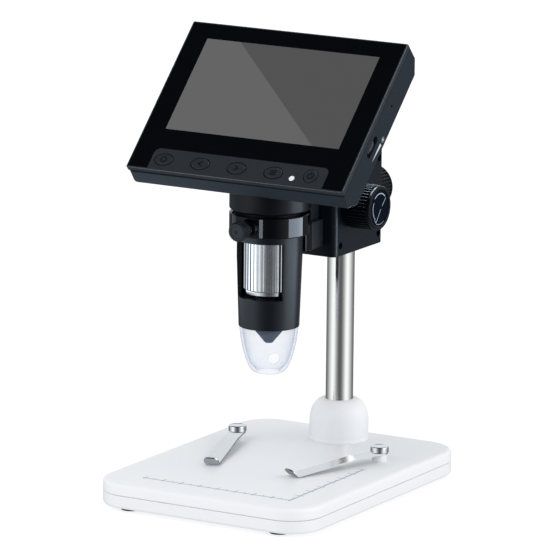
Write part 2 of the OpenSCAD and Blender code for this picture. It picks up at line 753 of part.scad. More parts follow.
module at_housing_screws() for (x = [-1, 1], y = housing_screw_y)
    translate([x * housing_screw_x, y, 0]) children();

// the space behind the inner face of the housing's back wall
module behind_back_wall() at_screen() translate([-screen_w, -screen_h, cavity_z - 200])
    cube([2 * screen_w, 2 * screen_h, 200]);

module rear_shell() color([0.14, 0.16, 0.19]) difference() {
    union() {
        at_screen() difference() {
            union() {
                difference() {
                    housing_solid(0, -bezel_t);
                    housing_solid(shell_wall, 0);
                }
                at_housing_screws() translate([0, 0, -housing_t + 1])
                    cylinder(r = 2.8, h = housing_t - 1 + boss_top_z);
                for (x = [-board_post_x, board_post_x], y = [-board_post_y, board_post_y])
                    translate([x, main_board_y + y, cavity_z - 0.5])
                        cylinder(r = 2.5, h = main_board_z - board_t - cavity_z + 0.5);
            }
            at_housing_screws() translate([0, 0, -housing_t - 1]) {
                cylinder(r = screw_r + fit, h = housing_t);
                cylinder(r = screw_head_r + 0.2, h = 1 + 3.2);
            }
            translate([screen_w / 2 - 2 * shell_wall, dimmer_y - wheel_slot / 2, dimmer_z - 1.8])
                cube([4 * shell_wall, wheel_slot, 3.6]);
            translate([screen_w / 2 - 2 * shell_wall, reset_y, reset_z]) rotate([0, 90, 0])
                cylinder(r = 0.7, h = 4 * shell_wall);
            translate([-screen_w / 2 - 2 * shell_wall, usb_y - 4, main_board_z - 0.1])
                cube([4 * shell_wall, 8, 3.2]);
            translate([-screen_w / 2 - 2 * shell_wall, card_y - 6, main_board_z - 0.1])
                cube([4 * shell_wall, 12, 2]);
        }
        intersection() {
            behind_back_wall();
            at_optic(neck_z) {
                cylinder(r1 = neck_r - neck_bevel, r2 = neck_r, h = neck_bevel);
                translate([0, 0, neck_bevel]) cylinder(r = neck_r, h = neck_reach + neck_r);
            }
        }
    }
    at_optic(neck_z - 1) cylinder(r = barrel_r + fit, h = barrel_top - neck_z + 1);
    at_optic(neck_z) cylinder(r = cable_hole_r, h = neck_reach);
}

module front_bezel() color([0.15, 0.17, 0.19]) at_screen() difference() {
    union() {
        translate([0, 0, -bezel_t]) linear_extrude(bezel_t)
            rounded_rect(screen_w, screen_h, face_corner_r);
        at_housing_screws() translate([0, 0, boss_top_z]) cylinder(r = 2.4, h = -boss_top_z - 1);
        for (x = key_post_x) translate([x, key_y, key_board_z])
            cylinder(r = 1.6, h = -key_board_z - 1);
    }
    translate([0, 0, -glass_t]) linear_extrude(2) glass_outline(0);
    translate([0, lcd_up, -bezel_t - 1]) linear_extrude(bezel_t + 2)
        square([lcd_w + 2 * window_margin, lcd_h + 2 * window_margin], center = true);
    translate([0, 0, -bezel_t - 1]) linear_extrude(bezel_t + 2) {
        for (x = key_x) translate([x, key_y]) key_outline(slide_gap);
        translate([power_x, power_y]) circle(power_r + slide_gap);
        translate([light_x, light_y]) circle(light_r);
    }
    at_housing_screws() translate([0, 0, boss_top_z - 1]) cylinder(r = screw_r + fit, h = 4.6);
}

module keypad_zone(grow) translate([0, -screen_h / 2 + keypad_h / 2 - 2])
    rounded_rect(keypad_w + 2 * grow, keypad_h + 4 + 2 * grow, keypad_corner_r);

module glass_outline(inset) difference() {
    rounded_rect(screen_w - 2 * (rim + inset), screen_h - 2 * (rim + inset), face_corner_r - rim);
    keypad_zone(inset);
}

module cover_glass() color([0.02, 0.02, 0.03]) at_screen() translate([0, 0, -glass_t])
    linear_extrude(glass_t) glass_outline(fit);

module display_panel() color([0.35, 0.35, 0.35]) at_screen()
    translate([-lcd_module_w / 2, lcd_up - lcd_module_h / 2, -bezel_t - lcd_module_t])
        cube([lcd_module_w, lcd_module_h, lcd_module_t]);

module main_board() color("darkgreen") at_screen() difference() {
    translate([-main_board_w / 2, main_board_y - main_board_h / 2, main_board_z - board_t])
        cube([main_board_w, main_board_h, board_t]);
    at_housing_screws() translate([0, 0, -housing_t]) cylinder(r = 3.2, h = housing_t);
}

module battery() color("lightsteelblue") at_screen()
    translate([-battery_w / 2, battery_top - battery_h, cavity_z])
        cube([battery_w, battery_h, main_board_z - board_t - cavity_z - 0.2]);

module usb_socket() color("silver") at_screen() difference() {
    translate([-screen_w / 2 + 0.3, usb_y - 3.8, main_board_z]) cube([11, 7.6, 2.8]);
    translate([-screen_w / 2 - 1, usb_y - 3.3, main_board_z + 0.4]) cube([7, 6.6, 2]);
}

module card_socket() color("silver") at_screen() difference() {
    translate([-screen_w / 2 + 0.3, card_y - 5.8, main_board_z]) cube([14, 11.6, 1.8]);
    translate([-screen_w / 2 - 1, card_y - 5.4, main_board_z + 0.4]) cube([12, 10.8, 1]);
}

module status_light() color("white") at_screen() translate([light_x, light_y, -bezel_t])
    cylinder(r = light_r - fit, h = bezel_t);

module housing_screws() color("dimgray") at_screen() at_housing_screws() {
    translate([0, 0, -housing_t + 1.2]) cylinder(r = screw_head_r, h = screw_head_h);
    translate([0, 0, -housing_t + 2]) cylinder(r = screw_r, h = housing_t - 2 - 3);
}

module key_outline(grow) {
    r = key_h / 2 + grow;
    run = (key_w - key_h) / 2;
    square([2 * run, 2 * r], center = true);
    for (x = [-run, run]) translate([x, 0]) circle(r);
}

module key_solid() {
    foot = -bezel_t - 0.15 - key_flange;
    translate([0, 0, foot]) linear_extrude(key_proud - foot) children();
}
module oval_button(x) color([0.17, 0.19, 0.21]) at_screen() translate([x, key_y, 0]) {
    key_solid() key_outline(0);
    translate([0, 0, -bezel_t - 0.15 - key_flange]) linear_extrude(key_flange) key_outline(0.9);
}
module capture_button() oval_button(key_x[0]);
module down_button() oval_button(key_x[1]);
module up_button() oval_button(key_x[2]);
module menu_button() oval_button(key_x[3]);
module power_button() color([0.17, 0.19, 0.21]) at_screen() translate([power_x, power_y, 0]) {
    key_solid() circle(power_r);
    translate([0, 0, -bezel_t - 0.15 - key_flange]) linear_extrude(key_flange) circle(power_r + 0.9);
}

module key_board() color("darkgreen") at_screen() {
    translate([key_board_x[0], key_y - key_board_h / 2, key_board_z - key_board_t])
        cube([key_board_x[1] - key_board_x[0], key_board_h, key_board_t]);
    for (x = concat(key_x, [power_x])) translate([x, key_y, key_board_z])
        cylinder(r = 2.5, h = switch_h);
}

module dimmer_pot() color("dimgray") at_screen() translate([dimmer_x, dimmer_y, main_board_z]) {
    cylinder(r = 3.2, h = 0.35);
    cylinder(r = 1.2, h = dimmer_z + dimmer_t / 2 - main_board_z);
}

module dimmer_wheel() color([0.25, 0.26, 0.28]) at_screen()
    translate([dimmer_x, dimmer_y, dimmer_z - dimmer_t / 2]) difference() {
        linear_extrude(dimmer_t) ribbed(dimmer_r, 40, 0.25);
        translate([0, 0, -1]) cylinder(r = 1.2 + fit, h = dimmer_t + 2);
    }

// ---------- barrel ----------

module barrel_tube() color([0.13, 0.14, 0.16]) difference() {
    at_optic() rotate_extrude($fn = 96) polygon([
        [cap_bore_r, barrel_z], [barrel_foot_r, barrel_z], [barrel_r, barrel_taper_z],
        [barrel_r, barrel_top], [plug_r, barrel_top], [plug_r, plug_z],
        [barrel_bore_r, plug_z], [barrel_bore_r, web_top], [hub_r + fit, web_top],
        [hub_r + fit, led_seat_z], [cap_bore_r, led_seat_z]]);
    at_optic(web_top) linear_extrude(window_h) polygon([[0, 0],
        30 * [-sin(window_half), -cos(window_half)],
        60 * [-sin(window_half / 2), -cos(window_half / 2)],
        60 * [sin(window_half / 2), -cos(window_half / 2)],
        30 * [sin(window_half), -cos(window_half)]]);
}

module barrel_plug() color("dimgray") at_optic(plug_z) tube(plug_r - fit, hub_r + fit, plug_t);

module sensor_board() color("darkgreen") at_optic(plug_z + plug_t) {
    cylinder(r = plug_r - 0.15, h = board_t);
    translate([-3.5, -3.5, -0.8]) cube([7, 7, 1]);
}

module sensor_cable() color("orange") difference() {
    cable_z = plug_z + plug_t + board_t;
    translate([-cable_w / 2, optic_y - cable_t / 2, cable_z]) cube([cable_w, cable_t, screen_z - cable_z]);
    at_screen() translate([-screen_w, -screen_h, main_board_z - board_t])
        cube([2 * screen_w, 2 * screen_h, 100]);
}

module led_board() color("white") at_optic(led_seat_z - board_t)
    tube(cap_bore_r - 0.1, nose_r + edge_gap + 0.4, board_t);

module leds() color("lightyellow") at_optic(led_seat_z - board_t) for (i = [0:7])
    rotate([0, 0, i * 45 + 22.5]) translate([led_ring_r, 0, -led_h]) {
        translate([0, 0, 0.6]) cylinder(r = led_r, h = led_h - 0.6);
        cylinder(r1 = led_r * 0.6, r2 = led_r, h = 0.6);
    }

module focus_wheel() color("silver") at_optic(wheel_z) difference() {
    union() {
        translate([0, 0, 2]) linear_extrude(wheel_len - 2) ribbed(wheel_r, wheel_ribs, 0.4);
        cylinder(r1 = wheel_r - 1.4, r2 = wheel_r - 0.3, h = 2);
        translate([0, 0, -2]) cylinder(r = hub_r, h = wheel_len + 2 + plug_t);
    }
    translate([0, 0, -3]) cylinder(r = lens_r + fit, h = 2 * wheel_len);
}

module lens_carrier() color([0.12, 0.13, 0.2]) at_optic() rotate_extrude() polygon([
    [1.1, nose_tip_z], [1.7, nose_tip_z], [2.1, nose_tip_z + 0.4], [nose_r, nose_z], [nose_r, lens_z],
    [lens_r, lens_z], [lens_r, lens_z + lens_len], [lens_bore_r, lens_z + lens_len],
    [lens_bore_r, nose_z + 3], [2.5, nose_z + 3]]);

module lens() color([0.7, 0.8, 0.9, 0.5]) at_optic(nose_z + 3) cylinder(r = lens_bore_r, h = 3);

module light_cap() color([0.85, 0.9, 0.97, 0.4]) at_optic() difference() {
    rotate_extrude($fn = 96) polygon(concat(
        [for (c = cap_curve) [c[0] * barrel_foot_r, barrel_z - c[1] * cap_len]],
        [[cap_mouth_r, barrel_z - cap_len]],
        [for (i = [4:-1:1]) [cap_curve[i][0] * barrel_foot_r - cap_wall,
                             barrel_z - cap_curve[i][1] * cap_len + cap_wall * 0.6]],
        [[cap_bore_r - fit - cap_wall, barrel_z], [cap_bore_r - fit - cap_wall, barrel_z + spigot_h],
         [cap_bore_r - fit, barrel_z + spigot_h], [cap_bore_r - fit, barrel_z]]));
    // side hole in the front wall
    translate([0, 0, barrel_z - 0.62 * cap_len]) rotate([90, 0, 0]) cylinder(r = 2.9, h = 30);
}

base_top_shell();
base_bottom_shell();
clip_standoffs();
rubber_feet();
base_screws();
post_collar();
post();
post_end_cap();
post_insert();
post_washer();
post_bolt();
left_clip_leaf();
left_clip_stud();
right_clip_leaf();
right_clip_stud();
clamp_sleeve();
carriage_left_half();
carriage_right_half();
carriage_screws();
clamp_nut();
clamp_stud();
clamp_knob();
focus_shaft();
left_focus_knob();
right_focus_knob();
knob_caps();
focus_slide();
focus_rack();
ring_clamp();
slide_screws();
thumb_screw_head();
thumb_screw_shank();
front_bezel();
rear_shell();
cover_glass();
display_panel();
main_board();
battery();
usb_socket();
card_socket();
status_light();
housing_screws();
key_board();
dimmer_pot();
dimmer_wheel();
capture_button();
down_button();
up_button();
menu_button();
power_button();
barrel_tube();
barrel_plug();
sensor_board();
sensor_cable();
led_board();
leds();
focus_wheel();
lens_carrier();
lens();
light_cap();
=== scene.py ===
import math
import bpy
import bmesh
from mathutils import Matrix, Vector


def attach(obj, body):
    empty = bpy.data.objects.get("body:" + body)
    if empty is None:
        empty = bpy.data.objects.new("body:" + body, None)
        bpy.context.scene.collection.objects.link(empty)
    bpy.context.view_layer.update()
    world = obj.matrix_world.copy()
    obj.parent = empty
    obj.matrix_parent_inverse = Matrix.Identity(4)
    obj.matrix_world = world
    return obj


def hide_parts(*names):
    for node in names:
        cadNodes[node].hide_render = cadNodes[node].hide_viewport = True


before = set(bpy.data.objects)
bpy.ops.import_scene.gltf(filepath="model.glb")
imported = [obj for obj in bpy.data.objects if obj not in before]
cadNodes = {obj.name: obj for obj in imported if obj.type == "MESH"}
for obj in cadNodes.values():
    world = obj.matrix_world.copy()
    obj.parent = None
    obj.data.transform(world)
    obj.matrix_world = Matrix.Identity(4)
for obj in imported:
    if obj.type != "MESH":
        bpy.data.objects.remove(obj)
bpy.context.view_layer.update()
mm = 0.001
print("frame loaded")

# camera and lamps

camera = {
    "azimuth": 30.31, "elevation": 12.07, "roll": 0.57,
    "target": (-23.93, 29.21, 97.21), "distance": 2700,
    "lens": 362.6, "sensor": 36, "clip": (0.1, 30),
}


def direction(azimuth, elevation):
    a, e = math.radians(azimuth), math.radians(elevation)
    return Vector((math.sin(a) * math.cos(e), -math.cos(a) * math.cos(e), math.sin(e)))


def addCamera(c):
    a, r = math.radians(c["azimuth"]), math.radians(c["roll"])
    right = Vector((math.cos(a), math.sin(a), 0))
    back = direction(c["azimuth"], c["elevation"])
    up = back.cross(right)
    tiltedRight = right * math.cos(r) + up * math.sin(r)
    tiltedUp = up * math.cos(r) - right * math.sin(r)
    data = bpy.data.cameras.new("camera")
    data.lens, data.sensor_width = c["lens"], c["sensor"]
    data.clip_start, data.clip_end = c["clip"]
    obj = bpy.data.objects.new("camera", data)
    bpy.context.scene.collection.objects.link(obj)
    obj.matrix_world = Matrix((tiltedRight, tiltedUp, back)).transposed().to_4x4()
    obj.location = (Vector(c["target"]) + back * c["distance"]) * mm
    bpy.context.scene.camera = obj


class Wire:
    # one shader socket; arithmetic on it adds Math nodes
    def __init__(self, tree, socket=None):
        self.tree, self.socket = tree, socket

    def node(self, kind, settings=None, sockets=None, out=0):
        made = self.tree.nodes.new("ShaderNode" + kind)
        for key, value in (settings or {}).items():
            if key == "stops":
                for i, (at, colour) in enumerate(value):
                    marks = made.color_ramp.elements
                    mark = marks[i] if i < 2 else marks.new(at)
                    mark.position, mark.color = at, (*colour, 1)
            else:
                setattr(made, key, value)
        for key, value in (sockets or {}).items():
            if isinstance(value, Wire):
                self.tree.links.new(value.socket, made.inputs[key])
            else:
                made.inputs[key].default_value = value
        return Wire(self.tree, made.outputs[out])

    def maths(self, operation, *values):
        return self.node("Math", {"operation": operation}, dict(enumerate(values)))

    def __add__(self, other):
        return self.maths("ADD", self, other)

    def __sub__(self, other):
        return self.maths("SUBTRACT", self, other)

    def __rsub__(self, other):
        return self.maths("SUBTRACT", other, self)

    def __mul__(self, other):
        return self.maths("MULTIPLY", self, other)

    def __truediv__(self, other):
        return self.maths("DIVIDE", self, other)

    def __lt__(self, other):
        return self.maths("LESS_THAN", self, other)

    def __abs__(self):
        return self.maths("ABSOLUTE", self)

    def clamped(self):
        return self.maths("MINIMUM", self.maths("MAXIMUM", self, 0.0), 1.0)

    def parts(self):
        return [self.node("SeparateXYZ", None, {0: self}, out=i) for i in range(3)]

    def blend(self, low, high):
        # colour from low to high as this wire goes from 0 to 1
        ends = [c if isinstance(c, Wire) else (*c, 1) for c in (low, high)]
        return self.node("Mix", {"data_type": "RGBA"}, {0: self, 6: ends[0], 7: ends[1]}, out=2)

    def output(self, kind):
        end = self.tree.nodes.new("ShaderNodeOutput" + kind)
        self.tree.links.new(self.socket, end.inputs["Surface"])


studio = {
    "ambient": 0.99,
    # brightness of the mirrored horizon, by angle from the camera's azimuth (1 is 180 degrees)
    "band": [(0, 0.075), (0.08, 0.13), (0.17, 0.40), (0.25, 0.78), (0.32, 1.0), (0.42, 0.84), (0.5, 0.6),
             (0.65, 0.24), (0.78, 0.13), (1, 0.08)],
    "bandGain": 1.12, "bandTop": 42, "fade": 14,  # half height and soft edge in degrees
    "floorTop": -28, "floorGlow": 0.35, "skyGlow": 0.02, "glossTint": (0.9, 0.95, 1.0),
    # start, steepness, how far it reaches below the horizon, the fade there, top, strength
    "backdrop": (0.66, 10, 1, 8, 48, 0.74),
    # azimuth, half width, soft edge, elevation, half height, strength
    "softbox": (108, 26, 12, 30, 22, 1.0),
    "lamps": [  # azimuth, elevation, distance, width, height, watts
        (112, 14, 1.3, 0.8, 0.9, 3.8),
        (-30, 48, 1.4, 0.9, 0.9, 4),
    ],
    "lampAim": (0, 0, 0.1),
    # azimuth, elevation, half width, half height, strength, the pieces that mirror it and, where
    # stripPlace doesn't give them, the point it faces and its distance
    "strips": [
        (108.5, -9.5, 24.5, 4, 10, ["ringClamp"]),
        (3.4, -9.5, 1.7, 4, 11, ["ringClamp"]),
        (8.6, -9.5, 1.7, 4, 11, ["ringClamp"]),
        (-90, -10, 12, 10, 0.6, ["ringClamp"]),
        (-62, -10, 45, 12, 0.8, ["barrelTube"]),
        (115, -10, 25, 12, 2.6, ["barrelTube"]),
        (-70, -8, 40, 14, 0.1, ["neck"]),
        (112, -8, 20, 14, 2.6, ["neck"]),
        (112, -10, 12, 12, 7, ["blockRight"]),
        (-80, -10, 45, 12, 1.2, ["focusWheel"]),
        (-92, 57, 45, 30, 14, ["rightFocusKnob", "leftFocusKnob", "clampKnob"]),
        (-113, -57.6, 14, 9, 1.3, ["rearShell"], (-50, -52, 160), 150),
        (-166, -29.5, 10, 10, 3, ["rearShell"], (59, -50, 155)),
        (87.6, 41.8, 12, 12, 9, ["bezel"], (0, -21, 191)),
        (-30.3, -12, 12, 12, 7, ["bezel"], (0, -21, 191)),
        (175, 47, 14, 14, 8, ["bezel", "captureKey", "downKey", "upKey", "menuKey", "powerKey"],
         (0, -50, 165)),
    ],
    # these aren't seen in the other pieces
    "unmirrored": ["baseTop", "baseBottom", "collar", "standoffs", "leftStud", "rightStud"],
    "stripTint": (0.76, 0.89, 1.06), "stripPlace": ((0, -17, 125), 300), "stripWatts": 4,  # per square metre
}


def addStudio(s):
    world = bpy.data.worlds.new("studio")
    bpy.context.scene.world = world
    world.use_nodes = True
    world.node_tree.nodes.clear()
    root = Wire(world.node_tree)
    x, y, z = root.node("TexCoord", out="Generated").parts()
    a = math.radians(camera["azimuth"])
    across = root.maths("SQRT", x * x + y * y + 1e-6)
    off = root.maths("ARCCOSINE", (x * math.sin(a) - y * math.cos(a)) / across) / math.pi
    band = root.node("ValToRGB", {"stops": [(at, (v, v, v)) for at, v in s["band"]]}, {"Fac": off})
    around = root.maths("ARCTAN2", x, y * -1.0) * (180 / math.pi)
    height = root.maths("ARCSINE", z) * (180 / math.pi)
    top, fade = s["bandTop"], s["fade"]
    low = ((top - height) / fade).clamped() * ((height + top) / fade).clamped()
    below = ((s["floorTop"] - height) / fade).clamped() * s["floorGlow"]
    start, steep, foot, rise, crest, strength = s["backdrop"]
    behind = ((off - start) * steep).clamped() * ((height + foot) / rise).clamped()
    behind = behind * ((crest - height) / fade).clamped() * strength
    at, half, soft, up, tall, strength = s["softbox"]
    box = ((half + soft - abs(around - at)) / soft).clamped()
    box = box * ((tall + soft - abs(height - up)) / soft).clamped() * strength
    glow = band * low * s["bandGain"] + below + behind + box + s["skyGlow"]
    flat = {"Color": (1, 1, 1, 1)}
    seen = root.node("Background", None, {**flat, "Strength": 1.0})
    even = root.node("Background", None, {**flat, "Strength": s["ambient"]})
    gloss = root.node("Background", None, {"Color": (*s["glossTint"], 1), "Strength": glow})
    isGloss = root.node("LightPath", out="Is Glossy Ray")
    isSeen = root.node("LightPath", out="Is Camera Ray") + root.node("LightPath", out="Is Transmission Ray")
    mixed = root.node("MixShader", None, {0: isGloss, 1: even, 2: gloss})
    root.node("MixShader", None, {0: isSeen.clamped(), 1: mixed, 2: seen}).output("World")
    for row in s["lamps"]:
        addLamp("softbox", *row, Vector(s["lampAim"])).visible_glossy = False


def addLamp(name, at, up, far, wide, tall, watts, centre):
    back = direction(at, up)
    data = bpy.data.lights.new(name, "AREA")
    data.shape, data.size, data.size_y, data.energy = "RECTANGLE", wide, tall, watts
    lamp = bpy.data.objects.new(name, data)
    bpy.context.scene.collection.objects.link(lamp)
    lamp.rotation_mode = "QUATERNION"
    lamp.rotation_quaternion = (-back).to_track_quat("-Z", "Y")
    lamp.location = back * far + centre
    return lamp


def addStrips(s):
    # reflector strips that light nothing and show only as reflections in the pieces named
    for at, up, across, high, strength, names, *place in s["strips"]:
        middle, far = (*place, *s["stripPlace"][len(place):])
        middle, far = Vector(middle) * mm, far * mm
        wide, tall = (2 * far * math.tan(math.radians(v)) for v in (across, high))
        watts = s["stripWatts"] * wide * tall * strength
        lamp = addLamp("strip", at, up, far, wide, tall, watts, middle)
        lamp.data.color = s["stripTint"]
        lamp.visible_camera = lamp.visible_diffuse = lamp.visible_transmission = False
        mirrors = bpy.data.collections.new("mirrors")
        for name in names:
            mirrors.objects.link(bpy.data.objects[name])
        lamp.light_linking.receiver_collection = mirrors
    for name in s["unmirrored"]:
        bpy.data.objects[name].visible_glossy = False


addCamera(camera)
addStudio(studio)
bpy.context.scene.view_settings.view_transform = "Standard"
print("camera and lamps set")

# solids as lists of points and faces, in millimetres


def roundCorners(points, closed=True, steps=5):
    # each point is x, y and, where wanted, the corner's radius and its knurl
    out, count = [], len(points)
    for i, point in enumerate(points):
        x, y, radius, knurl = (*point, 0, 0)[:4]
        here = Vector((x, y))
        if radius == 0 or (not closed and i in (0, count - 1)):
            out.append((x, y, knurl))
            continue
        before = Vector(points[i - 1][:2]) - here
        after = Vector(points[(i + 1) % count][:2]) - here
        a, b = before.normalized(), after.normalized()
        half = a.angle(b) / 2
        # the arc takes up less than half of either side
        reach = min(radius / math.tan(half), 0.49 * before.length, 0.49 * after.length)
        centre = here + (a + b).normalized() * reach / math.cos(half)
        start, end = here + a * reach - centre, here + b * reach - centre
        turn = math.pi - 2 * half
        for s in range(steps + 1):
            u = s / steps
            v = (start * math.sin((1 - u) * turn) + end * math.sin(u * turn)) / math.sin(turn)
            out.append((centre.x + v.x, centre.y + v.y, knurl))
    return out


def outlineOf(points, steps=5):
    return [p[:2] for p in roundCorners(points, True, steps)]


def slabOutline(wide, deep, radius, x=0, y=0, steps=6):
    w, d = wide / 2, deep / 2
    corners = [(x - w, y - d), (x + w, y - d), (x + w, y + d), (x - w, y + d)]
    return outlineOf([(*c, radius) for c in corners], steps)


def circleOutline(radius, x=0, y=0, count=32):
    turns = [2 * math.pi * i / count for i in range(count)]
    return [(x + radius * math.cos(t), y + radius * math.sin(t)) for t in turns]


def ellipseOutline(wide, tall, x=0, y=0):
    return [(x + u * wide / 2, y + v * tall / 2) for u, v in circleOutline(1, count=56)]


def insetOf(outline, distance):
    n = len(outline)
    points = [Vector(p) for p in outline]
    area = sum(points[i].cross(points[(i + 1) % n]) for i in range(n))
    side = 1 if area > 0 else -1
    out = []
    for i, p in enumerate(points):
        a = (p - points[i - 1]).normalized()
        b = (points[(i + 1) % n] - p).normalized()
        normal = Vector((-a.y - b.y, a.x + b.x)).normalized() * side
        share = max(0.35, abs(normal.dot(Vector((-a.y, a.x)))))  # keeps sharp corners from shooting out
        out.append(tuple(p + normal * distance / share))
    return out


def loft(rings, place):
    n = len(rings[0])
    points = [place @ Vector(p) for ring in rings for p in ring]
    faces = [(a * n + i, a * n + (i + 1) % n, (a + 1) * n + (i + 1) % n, (a + 1) * n + i)
             for a in range(len(rings) - 1) for i in range(n)]
    return points, faces + [tuple(range(n)), tuple(range(len(points) - n, len(points)))]


def prism(outline, low, high, place=Matrix(), edge=0.3, lowEdge=None, steps=3):
    # outline pulled from low to high, with its two rims rounded
    lowEdge = edge if lowEdge is None else lowEdge
    quarter = [math.pi / 2 * s / steps for s in range(steps + 1)]
    levels = [(lowEdge * (1 - math.sin(t)), low + lowEdge * (1 - math.cos(t))) for t in quarter]
    levels += [(edge * (1 - math.cos(t)), high - edge * (1 - math.sin(t))) for t in quarter]
    if lowEdge == 0:
        levels = levels[steps:]
    if edge == 0:
        levels = levels[:-steps]
    rings = [[(x, y, z) for x, y in insetOf(outline, d)] for d, z in levels]
    return loft(rings, place)


def ribHeight(turn):
    # 0 at a rib's top, 1 in the groove beside it
    wave = 0.5 - 0.5 * math.cos(2 * math.pi * turn)
    return min(1.0, max(0.0, (wave - 0.25) * 2.0))


def revolve(profile, place=Matrix(), segments=72, closed=False, ribs=0, depth=0.0, steps=5):
    points, rings, faces = [], [], []
    for r, z, knurl in roundCorners(profile, closed, steps):
        start = len(points)
        if r < 1e-6:
            points.append((0, 0, z))
            rings.append([start] * segments)
            continue
        for i in range(segments):
            t = 2 * math.pi * i / segments
            rr = r - (knurl * depth * ribHeight(i * ribs / segments) if knurl else 0)
            points.append((rr * math.cos(t), rr * math.sin(t), z))
        rings.append(list(range(start, start + segments)))
    for a, b in zip(rings, rings[1:] + (rings[:1] if closed else [])):
        for i in range(segments):
            j = (i + 1) % segments
            corners = tuple(dict.fromkeys((a[i], a[j], b[j], b[i])))
            if len(corners) > 2:
                faces.append(corners)
    return [place @ Vector(p) for p in points], faces


def knurled(sizes, profile, place, pointsPerRib, closed=False):
    return revolve(profile, place, sizes["ribs"] * pointsPerRib, closed, sizes["ribs"], sizes["depth"], 3)


def block(low, high, edge=0.0):
    middle = [(a + b) / 2 for a, b in zip(low, high)]
    size = [b - a for a, b in zip(low, high)]
    outline = slabOutline(size[0], size[1], edge, middle[0], middle[1], 3) if edge else [
        (low[0], low[1]), (high[0], low[1]), (high[0], high[1]), (low[0], high[1])]
    return prism(outline, low[2], high[2], edge=edge)


def rod(radius, low, high, place):
    return prism(circleOutline(radius), low, high, place, 0)


def stroke(points, wide, place, z0, z1):
    # short straight bars along a line of points
    bars = []
    for (x0, y0), (x1, y1) in zip(points, points[1:]):
        run = Vector((x1 - x0, y1 - y0))
        side = Vector((-run.y, run.x)).normalized() * wide / 2
        along = run.normalized() * wide / 2
        a, b = Vector((x0, y0)) - along, Vector((x1, y1)) + along
        outline = [tuple(a - side), tuple(b - side), tuple(b + side), tuple(a + side)]
        bars.append(prism(outline, z0, z1, place, 0))
    return bars


def ringStroke(radius, wide, place, z0, z1, start, end, count=24):
    inner, outer = radius - wide / 2, radius + wide / 2
    if end - start >= 360:
        return revolve([(inner, z0), (outer, z0), (outer, z1), (inner, z1)], place, 36, True)
    turns = [math.radians(start + (end - start) * i / count) for i in range(count + 1)]
    outline = [(outer * math.cos(a), outer * math.sin(a)) for a in turns]
    outline += [(inner * math.cos(a), inner * math.sin(a)) for a in reversed(turns)]
    return prism(outline, z0, z1, place, 0)


def meshFrom(name, solids):
    points, faces = [], []
    for p, f in solids:
        faces += [tuple(i + len(points) for i in face) for face in f]
        points += [v * mm for v in p]
    mesh = bpy.data.meshes.new(name)
    mesh.from_pydata(points, [], faces)
    shell = bmesh.new()
    shell.from_mesh(mesh)
    bmesh.ops.recalc_face_normals(shell, faces=shell.faces)
    shell.to_mesh(mesh)
    shell.free()
    return mesh


def objectFrom(name, solids):
    obj = bpy.data.objects.new(name, meshFrom(name, solids))
    bpy.context.scene.collection.objects.link(obj)
    return obj


def bake(obj):
    bpy.context.view_layer.update()
    graph = bpy.context.evaluated_depsgraph_get()
    mesh = bpy.data.meshes.new_from_object(obj.evaluated_get(graph))
    obj.modifiers.clear()
    obj.data = mesh


def cutAway(obj, solids):
    cutter = objectFrom("cutter", solids)
    change = obj.modifiers.new("cut", "BOOLEAN")
    change.operation, change.solver, change.object = "DIFFERENCE", "EXACT", cutter
    bake(obj)
    bpy.data.objects.remove(cutter)


def piece(name, solids, finish, body, replaced=(), cuts=(), bevel=0.0, smooth=38):
    obj = objectFrom(name, solids)
    for cut in cuts:
        cutAway(obj, cut)
    if bevel:
        soft = obj.modifiers.new("edges", "BEVEL")
        soft.width, soft.segments, soft.limit_method = bevel * mm, 2, "ANGLE"
        soft.angle_limit = math.radians(40)
        bake(obj)
    obj.data.polygons.foreach_set("use_smooth", [True] * len(obj.data.polygons))
    obj.data.set_sharp_from_angle(angle=math.radians(smooth))
    even = obj.modifiers.new("normals", "WEIGHTED_NORMAL")
    even.keep_sharp = True
    bake(obj)
    obj.data.materials.clear()
    obj.data.materials.append(finishes[finish])
    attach(obj, body)
    if replaced:
        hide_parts(*replaced)
    return obj


def moved(x=0, y=0, z=0):
    return Matrix.Translation((x, y, z))


def turned(degrees, axis):
    return Matrix.Rotation(math.radians(degrees), 4, axis)


alongX = Matrix(((0, 0, 1, 0), (1, 0, 0, 0), (0, 1, 0, 0), (0, 0, 0, 1)))
axes = {"optic": (0, -17), "post": (0, 52), "screen": (0, -21.25, 191.3), "lean": 45}
optic = moved(*axes["optic"])
postAxis = moved(*axes["post"])
screen = moved(*axes["screen"]) @ turned(axes["lean"], "X")

# finishes


def material(name):
    made = bpy.data.materials.new(name)
    made.use_nodes = True
    made.node_tree.nodes.clear()
    return made, Wire(made.node_tree)


def surface(made, root, sockets):
    root.node("BsdfPrincipled", None, sockets).output("Material")
    return made


def noise(root, size, stretch=(1, 1, 1)):
    # size in millimetres
    place = root.node("TexCoord", out="Object")
    if stretch != (1, 1, 1):
        place = root.node("VectorMath", {"operation": "MULTIPLY"}, {0: place, 1: stretch})
    return root.node("TexNoise", None, {"Vector": place, "Scale": 1 / (size * mm), "Detail": 3.0})


def shaded(colour, share):
    return tuple(min(1.0, c * share) for c in colour)


def plastic(name, colour, rough, grain, grainSize, mottle=0.1, specular=0.5, coat=0.0):
    made, root = material(name)
    cloud = noise(root, 18)
    speck = noise(root, grainSize)
    tone = (cloud * 0.7 + speck * 0.3).blend(shaded(colour, 1 - mottle), shaded(colour, 1 + mottle))
    normal = root.node("Bump", None, {"Strength": 0.5, "Distance": grain * mm, "Height": speck})
    return surface(made, root, {
        "Base Color": tone, "Roughness": cloud * 0.1 + (rough - 0.05), "Normal": normal,
        "Specular IOR Level": specular, "Coat Weight": coat, "Coat Roughness": 0.06})


